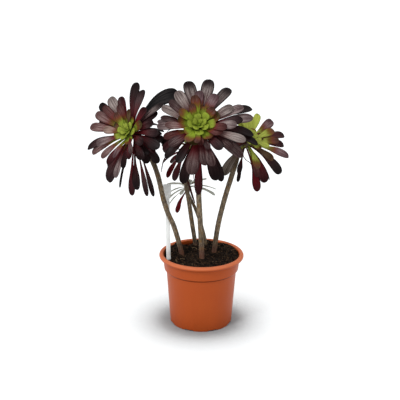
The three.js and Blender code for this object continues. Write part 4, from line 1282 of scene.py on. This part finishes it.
    # Kept for the skin's pattern: across the blade, along it, and which face
    sheet = add(tree, "ShaderNodeCombineXYZ", {"X": across, "Y": along, "Z": face})
    mapped = add(tree, "GeometryNodeStoreNamedAttribute", {
        "Geometry": bent, "Name": "blade", "Value": sheet,
    }, data_type="FLOAT_VECTOR", domain="POINT")
    return end_tree(tree, mapped, given["Material"], True)


def head_frame(head):
    """A head's tip and axis, and right and up as seen by someone facing it."""
    lean, turn = math.radians(head["lean"]), math.radians(head["turn"])
    forward = Vector((math.sin(turn), -math.cos(turn), 0))
    axis = forward * math.sin(lean) + UP * math.cos(lean)
    right = UP.cross(axis).normalized()
    return Vector(head["tip"]), axis, right, axis.cross(right).normalized()


def leaf_midrib(head, clock, length, opening):
    """A leaf's three control points and the way across it. An open leaf's outer half is drawn down."""
    tip, axis, right, up = head_frame(head)
    turn = math.radians(clock)
    outward = up * math.cos(turn) + right * math.sin(turn)
    drawn = eased(opening, DROOP_START, 1)

    def heading(degrees, droop):
        lean = math.radians(degrees)
        return (axis * math.cos(lean) + outward * math.sin(lean) - UP * droop * drawn).normalized()

    inner = heading(mix(*INNER_LEAN, opening ** INNER_LEAN_POWER), INNER_DROOP)
    outer = heading(mix(*OUTER_LEAN, opening ** OUTER_LEAN_POWER), OUTER_DROOP)
    depth = (opening * LEAF_ZONE + ROOT_DEPTH) * head["size"]
    root = tip - axis * depth + outward * ROOT_OFFSET * head["size"]
    middle = root + inner * length / 2
    return root, middle, middle + outer * length / 2, axis.cross(outward)


LEAF_ATTRIBUTES = (
    "root", "middle", "end", "crosswise", "width", "roll", "dish", "heart", "hanging", "draw", "tone",
    "tipped", "own", "yellow",
)


def head_leaves(head):
    """Every leaf of a head, as its attributes in the order above."""
    rows = []

    def add_leaf(clock, length, opening, width, roll, dish, heart, yellow, own, green, painted_sheen, wine, tipped):
        points = leaf_midrib(head, clock, length, opening)
        rows.append((
            *(p * MM for p in points[:3]), points[3], width * MM, math.radians(roll), dish, heart,
            float(opening >= HANGING_FROM), spread(len(rows) + 1), (green, painted_sheen, wine), tipped,
            to_linear(own), yellow,
        ))

    for i, (clock, length, opening, width, finish, *twist) in enumerate(head["leaves"]):
        roll = twist[0] if twist else LEAF_ROLL * (spread(i + 1) - 0.5)
        add_leaf(clock, length, opening, width, roll, LEAF_DISH, 0.0, head["yellow"], *FINISHES[finish])
    count, reach = head["heart"]
    for i in range(count):
        age = (i + 0.5) / count
        length = mix(HEART_INNER_LENGTH * head["size"], reach, age)
        add_leaf(
            head["spin"] + i * GOLDEN_ANGLE, length, HEART_OPENING * age,
            HEART_ROOT_WIDTH + HEART_WIDTH_SHARE * length, 0.0, HEART_DISH, 1.0,
            head["yellow"] + HEART_YELLOWING * (1 - age), HEART_COLOUR, mix(*HEART_GREEN, age), *HEART_TONE,
        )
    return rows


def route_point(points, place):
    """A point on the smooth line through the points; place counts them from 0, and may be a fraction."""
    index = min(int(place), len(points) - 2)
    share = place - index
    b, c = points[index], points[index + 1]
    a = points[index - 1] if index else 2 * b - c
    d = points[index + 2] if index + 2 < len(points) else 2 * c - b
    gaps = [math.sqrt((q - p).length) for p, q in ((a, b), (b, c), (c, d))]
    leave = ((b - a) / gaps[0] - (c - a) / (gaps[0] + gaps[1]) + (c - b) / gaps[1]) * gaps[1]
    arrive = ((c - b) / gaps[1] - (d - b) / (gaps[1] + gaps[2]) + (d - c) / gaps[2]) * gaps[1]
    bend = 3 * (c - b) - 2 * leave - arrive
    twist = 2 * (b - c) + leave + arrive
    return b + share * (leave + share * (bend + share * twist))


def stem_route(name):
    """Points evenly along a bare stem, and its radius at each."""
    radius, points = STEMS[name]
    head = HEADS[name]
    tip, axis, _, _ = head_frame(head)
    seat = SHOOT_LENGTH * head["size"] + STEM_SEAT
    line = [Vector(p) for p in points]
    line += [tip - axis * (seat + STEM_APPROACH * head["size"]), tip - axis * seat]
    fine = [route_point(line, (len(line) - 1) * i / ROUTE_SAMPLES) for i in range(ROUTE_SAMPLES + 1)]
    reach = [0]
    for before, after in zip(fine, fine[1:]):
        reach.append(reach[-1] + (after - before).length)
    top_radius = min(radius, STEM_TOP_SHARE * SHOOT_RADIUS * head["size"])
    route, girth = [], []
    for i in range(STEM_POINTS + 1):
        share = i / STEM_POINTS
        nearest = min(range(len(fine)), key=lambda k: abs(reach[k] - share * reach[-1]))
        buried = mix(STEM_BURIED_SHARE, STEM_SOIL_SHARE, eased(share, 0, STEM_BURIED_END))
        settled = mix(buried, 1, eased(share, STEM_BURIED_END, STEM_FULL_START))
        route.append(fine[nearest])
        girth.append(mix(radius * settled, top_radius, eased(share, STEM_FULL_END, 1)) * MM)
    return route, girth


def shoot_route(name):
    """Points along a stem's leafy end, and its radius at each."""
    head = HEADS[name]
    tip, axis, _, _ = head_frame(head)
    route = [tip + axis * height * SHOOT_LENGTH * head["size"] for height, _ in SHOOT_SHAPE]
    return route, [share * SHOOT_RADIUS * head["size"] * MM for _, share in SHOOT_SHAPE]


def label_outline(label):
    """The label's outline from its point up, with rounded corners, in its own plane."""
    span = (LABEL_TOP - LABEL_FOOT).length
    stake, head = label.stake_width / MM / 2, label.head_width / MM / 2
    shoulder = span - LABEL_HEAD_LENGTH
    right = [
        (0, 0, LABEL_POINT_ROUND),
        (stake, LABEL_POINT_LENGTH, LABEL_SHOULDER_ROUND),
        (stake, shoulder - LABEL_SHOULDER_LENGTH, LABEL_SHOULDER_ROUND),
        (head, shoulder, LABEL_SHOULDER_ROUND),
        (head, span, LABEL_CORNER),
    ]
    return rounded(right + [(-x, y, size) for x, y, size in reversed(right[1:])])


def soft_light(name, place, strength, angle):
    """A wide soft light from the direction of this place, the same everywhere on the stage."""
    light = bpy.data.lights.new(name, "SUN")
    light.energy = strength
    light.angle = angle
    lamp = bpy.data.objects.new(name, light)
    lamp.rotation_euler = (-Vector(place)).to_track_quat("-Z", "Y").to_euler()
    bpy.context.scene.collection.objects.link(lamp)


def room_light(stage):
    """A room with a bright ceiling and dim walls."""
    world = bpy.data.worlds.new("studio_room")
    world.use_nodes = True
    tree = world.node_tree
    height = add(tree, "ShaderNodeSeparateXYZ", {
        "Vector": add(tree, "ShaderNodeTexCoord").outputs["Generated"],
    }).outputs["Z"]
    strength = add(tree, "ShaderNodeMapRange", {
        "Value": height, "From Min": 0.1, "From Max": 0.9, "To Min": stage.walls, "To Max": stage.ceiling,
    }, interpolation_type="SMOOTHSTEP")
    wire(tree, tree.nodes["Background"], {"Color": (1, 1, 1, 1), "Strength": strength})
    return world


class AEONIUM_OT_set_stage(Operator):
    """Sets up the camera, the white floor and the soft studio light"""

    bl_idname = "aeonium.set_stage"
    bl_label = "Set the stage"

    def execute(self, context):
        stage = context.scene.aeonium_stage
        pitch, roll = math.radians(CAMERA_ELEVATION), math.radians(CAMERA_ROLL)
        forward = Vector((0, math.cos(pitch), -math.sin(pitch)))
        right = RIGHTWARD * math.cos(roll) + RIGHTWARD.cross(forward) * math.sin(roll)
        turn = Matrix((right, right.cross(forward), -forward)).transposed()
        lens = bpy.data.cameras.new("camera")
        lens.lens = CAMERA_LENS
        lens.clip_end = CAMERA_REACH * MM
        camera = bpy.data.objects.new("camera", lens)
        camera.matrix_world = (
            Matrix.Translation((CAMERA_TARGET - forward * CAMERA_DISTANCE) * MM) @ turn.to_4x4()
        )
        context.scene.collection.objects.link(camera)
        context.scene.camera = camera
        half = FLOOR_HALF_SIDE
        corners = [(-half, -half, 0), (half, -half, 0), (half, half, 0), (-half, half, 0)]
        floor = new_piece("floor", corners, [], [(0, 1, 2, 3)])
        floor.data.materials.append(white_paper(stage))
        context.scene.world = room_light(stage)
        soft_light("key_light", KEY_LIGHT_PLACE, stage.key, stage.key_angle)
        context.scene.view_settings.view_transform = "Standard"
        return {"FINISHED"}


class AEONIUM_OT_make_pot(Operator):
    """Makes the nursery pot with its rolled lip and drain holes"""

    bl_idname = "aeonium.make_pot"
    bl_label = "Make the pot"

    def execute(self, context):
        pot = context.scene.aeonium_pot
        piece = turned("nursery_pot", pot_section(pot), POT_SIDES)
        cutter = drain_cutter()
        cut = piece.modifiers.new("drains", "BOOLEAN")
        cut.object = cutter
        cut.solver = "EXACT"
        evaluated(piece)
        bpy.data.objects.remove(cutter)
        piece.data.set_sharp_from_angle(angle=math.radians(POT_SHARP_ANGLE))
        piece.data.materials.append(polypropylene(pot))
        settle(piece, "pot_plastic", "pot")
        return {"FINISHED"}


class AEONIUM_OT_make_soil(Operator):
    """Makes the potting mix with its crumbs and fibres"""

    bl_idname = "aeonium.make_soil"
    bl_label = "Make the soil"

    def execute(self, context):
        soil = context.scene.aeonium_soil
        wall = context.scene.aeonium_pot.wall / MM + SOIL_GAP
        bottom = FLOOR + SOIL_GAP
        section = [
            (0, bottom),
            (inner_radius(bottom, wall), bottom),
            (inner_radius(BODY_TOP_HEIGHT, wall), BODY_TOP_HEIGHT + SOIL_GAP),
            (inner_radius(COLLAR_FOOT_HEIGHT, wall), COLLAR_FOOT_HEIGHT + SOIL_GAP),
        ]
        rings = math.ceil(SOIL_EDGE_RADIUS / SOIL_RING_STEP)
        section += [(SOIL_EDGE_RADIUS * (1 - i / rings), SOIL_LEVEL) for i in range(rings + 1)]
        body = turned("potting_mix", section, SOIL_SIDES)
        for vertex in body.data.vertices:
            if vertex.co.z > (SOIL_LEVEL - 1) * MM:
                height = soil_height(vertex.co.x / MM, vertex.co.y / MM)
                reach = math.hypot(vertex.co.x, vertex.co.y) / MM
                fit = min(1, inner_radius(height, wall) / max(reach, 1))
                vertex.co = Vector((vertex.co.x * fit, vertex.co.y * fit, height * MM))
        mix_material = potting_mix(soil)
        grow(body, soil_tree(), {"Relief": soil.relief, "Material": mix_material})
        scatter = scatter_tree()
        strewn = {
            "soil_crumbs": {
                "Density": CRUMB_DENSITY, "Smallest": SMALLEST_CRUMB * MM, "Largest": soil.crumb,
                "Thickness": 0.7, "Fibres": 0.0, "Roughness": 1.3, "Palest": 1.0, "Seed": soil.seed,
                "Material": mix_material,
            },
            "soil_fibres": {
                "Density": FIBRE_DENSITY, "Smallest": SHORTEST_FIBRE_SHARE * soil.fibre,
                "Largest": soil.fibre, "Thickness": 1.0, "Fibres": 1.0, "Roughness": 0.3, "Palest": 1.0,
                "Seed": soil.seed + 1, "Material": plant_fibre(soil),
            },
        }
        for name, inputs in strewn.items():
            piece = new_piece(name, [], [], [])
            piece.data = body.data.copy()
            settle(grow(piece, scatter, inputs), "potting_soil")
        settle(body, "potting_soil", "soil")
        return {"FINISHED"}


class AEONIUM_OT_make_label(Operator):
    """Makes the blank plant label"""

    bl_idname = "aeonium.make_label"
    bl_label = "Make the label"

    def execute(self, context):
        label = context.scene.aeonium_label
        along = (LABEL_TOP - LABEL_FOOT).normalized()
        across = (RIGHTWARD - RIGHTWARD.project(along)).normalized()
        facing = across.cross(along)
        outline = label_outline(label)
        count = len(outline)
        half = label.thickness / MM / 2
        vertices = [
            LABEL_FOOT + across * x + along * y + facing * side
            for side in (half, -half) for x, y in outline
        ]
        faces = [tuple(range(count)), tuple(range(2 * count - 1, count - 1, -1))]
        for i in range(count):
            after = (i + 1) % count
            faces.append((after, i, count + i, count + after))
        piece = new_piece("blank_label", vertices, [], faces)
        edge = piece.modifiers.new("edge", "BEVEL")
        edge.width = LABEL_EDGE * MM
        edge.segments = 2
        edge.limit_method = "ANGLE"
        edge.angle_limit = math.radians(LABEL_EDGE_ANGLE)
        evaluated(piece)
        piece.data.set_sharp_from_angle(angle=math.radians(LABEL_SHARP_ANGLE))
        piece.data.materials.append(label_sheet(label))
        settle(piece, "label_plastic", "plant_label")
        return {"FINISHED"}


class AEONIUM_OT_make_stems(Operator):
    """Makes the bare stems with their leaf scars, and their leafy ends"""

    bl_idname = "aeonium.make_stems"
    bl_label = "Make the stems"

    def execute(self, context):
        stem = context.scene.aeonium_stem
        tree = stem_tree()
        bark = stem_bark(stem)
        for seed, name in enumerate(STEMS):
            for kind, (route, girth), climb in (
                ("stem", stem_route(name), 0.0), ("shoot", shoot_route(name), 1.0),
            ):
                edges = [(i, i + 1) for i in range(len(route) - 1)]
                piece = new_piece(f"{kind}_of_{name}", route, edges, [])
                give(piece, "girth", girth)
                give(piece, "climb", [climb + i / (len(route) - 1) for i in range(len(route))])
                grow(piece, tree, {
                    "Step": STEM_STEP * MM, "Sides": STEM_SIDES, "Relief": stem.relief,
                    "Scar spacing": stem.scar_spacing, "Seed": seed, "Material": bark,
                })
                settle(piece, "stem_bark", *([f"stem_{name}"] if kind == "stem" else []))
        return {"FINISHED"}


class AEONIUM_OT_make_dry_leaves(Operator):
    """Makes the withered leaves that hang from the heads"""

    bl_idname = "aeonium.make_dry_leaves"
    bl_label = "Make the withered leaves"

    def execute(self, context):
        leaf = context.scene.aeonium_leaf
        tree = stem_tree()
        withered = dry_leaf(leaf)
        for name, (radius, points) in DRY_LEAVES.items():
            last = len(points) - 1
            piece = new_piece(f"dry_leaf_of_{name}", points, [(i, i + 1) for i in range(last)], [])
            swell = [mix(DRY_LEAF_END_SHARE, 1, math.sin(math.pi * i / last)) for i in range(last + 1)]
            give(piece, "girth", [radius * MM * share for share in swell])
            # A metre is longer than the leaf, so it has a scar at its start only
            grow(piece, tree, {
                "Step": DRY_LEAF_STEP * MM, "Sides": DRY_LEAF_SIDES,
                "Relief": radius * DRY_LEAF_RELIEF_SHARE * MM, "Scar spacing": 1.0, "Seed": last,
                "Material": withered,
            })
            settle(piece, "leaf")
        return {"FINISHED"}


class AEONIUM_OT_make_rosettes(Operator):
    """Makes the five rosettes of leaves"""

    bl_idname = "aeonium.make_rosettes"
    bl_label = "Make the rosettes"

    def execute(self, context):
        leaf = context.scene.aeonium_leaf
        tree = leaf_tree()
        dark = leaf_skin("dark_aeonium_leaf", leaf, leaf.lime, leaf.butter, 0.8)
        shaded = leaf_skin("shaded_aeonium_leaf", leaf, leaf.petiole, leaf.petiole, 0.3)
        for name, head in HEADS.items():
            leaves = head_leaves(head)
            piece = new_piece(f"leaves_of_{name}", [row[0] / MM for row in leaves], [], [])
            for attribute, values in zip(LEAF_ATTRIBUTES, zip(*leaves)):
                give(piece, attribute, values)
            grow(piece, tree, {
                "Stations": LEAF_STATIONS, "Sides": LEAF_SIDES, "Root thickness": leaf.root_thickness,
                "Tip thickness": leaf.tip_thickness, "Wave": LEAF_WAVE * MM, "Groove": LEAF_GROOVE * MM,
                "Material": shaded if name == "small" else dark,
            })
            settle(piece, "pale_leaf" if name == "small" else "leaf", f"rosette_{name}")
        return {"FINISHED"}


SETTINGS = {
    "aeonium_stage": (StageSettings, AEONIUM_OT_set_stage),
    "aeonium_pot": (PotSettings, AEONIUM_OT_make_pot),
    "aeonium_soil": (SoilSettings, AEONIUM_OT_make_soil),
    "aeonium_label": (LabelSettings, AEONIUM_OT_make_label),
    "aeonium_stem": (StemSettings, AEONIUM_OT_make_stems),
    "aeonium_leaf": (LeafSettings, AEONIUM_OT_make_rosettes, AEONIUM_OT_make_dry_leaves),
}


class AEONIUM_PT_build(Panel):
    """Lists the plant's sizes and colours, and what makes each piece"""

    bl_idname = "AEONIUM_PT_build"
    bl_label = "Potted aeonium"
    bl_space_type = "VIEW_3D"
    bl_region_type = "UI"
    bl_category = "Aeonium"

    def draw(self, context):
        for name, (group, *operators) in SETTINGS.items():
            box = self.layout.box()
            for field in group.__annotations__:
                box.prop(getattr(context.scene, name), field)
            for operator in operators:
                box.operator(operator.bl_idname)


def register():
    """Adds the settings, the operators and the panel to Blender."""
    for name, (group, *operators) in SETTINGS.items():
        for added in (group, *operators):
            bpy.utils.register_class(added)
        setattr(bpy.types.Scene, name, PointerProperty(type=group))
    bpy.utils.register_class(AEONIUM_PT_build)


def unregister():
    """Takes them off again."""
    bpy.utils.unregister_class(AEONIUM_PT_build)
    for name, (group, *operators) in SETTINGS.items():
        delattr(bpy.types.Scene, name)
        for added in (*operators, group):
            bpy.utils.unregister_class(added)


def main():
    """Builds the stage and every piece."""
    register()
    bpy.ops.aeonium.set_stage()
    bpy.ops.aeonium.make_pot()
    bpy.ops.aeonium.make_soil()
    bpy.ops.aeonium.make_label()
    bpy.ops.aeonium.make_stems()
    bpy.ops.aeonium.make_rosettes()
    bpy.ops.aeonium.make_dry_leaves()


if __name__ == "__main__":
    main()
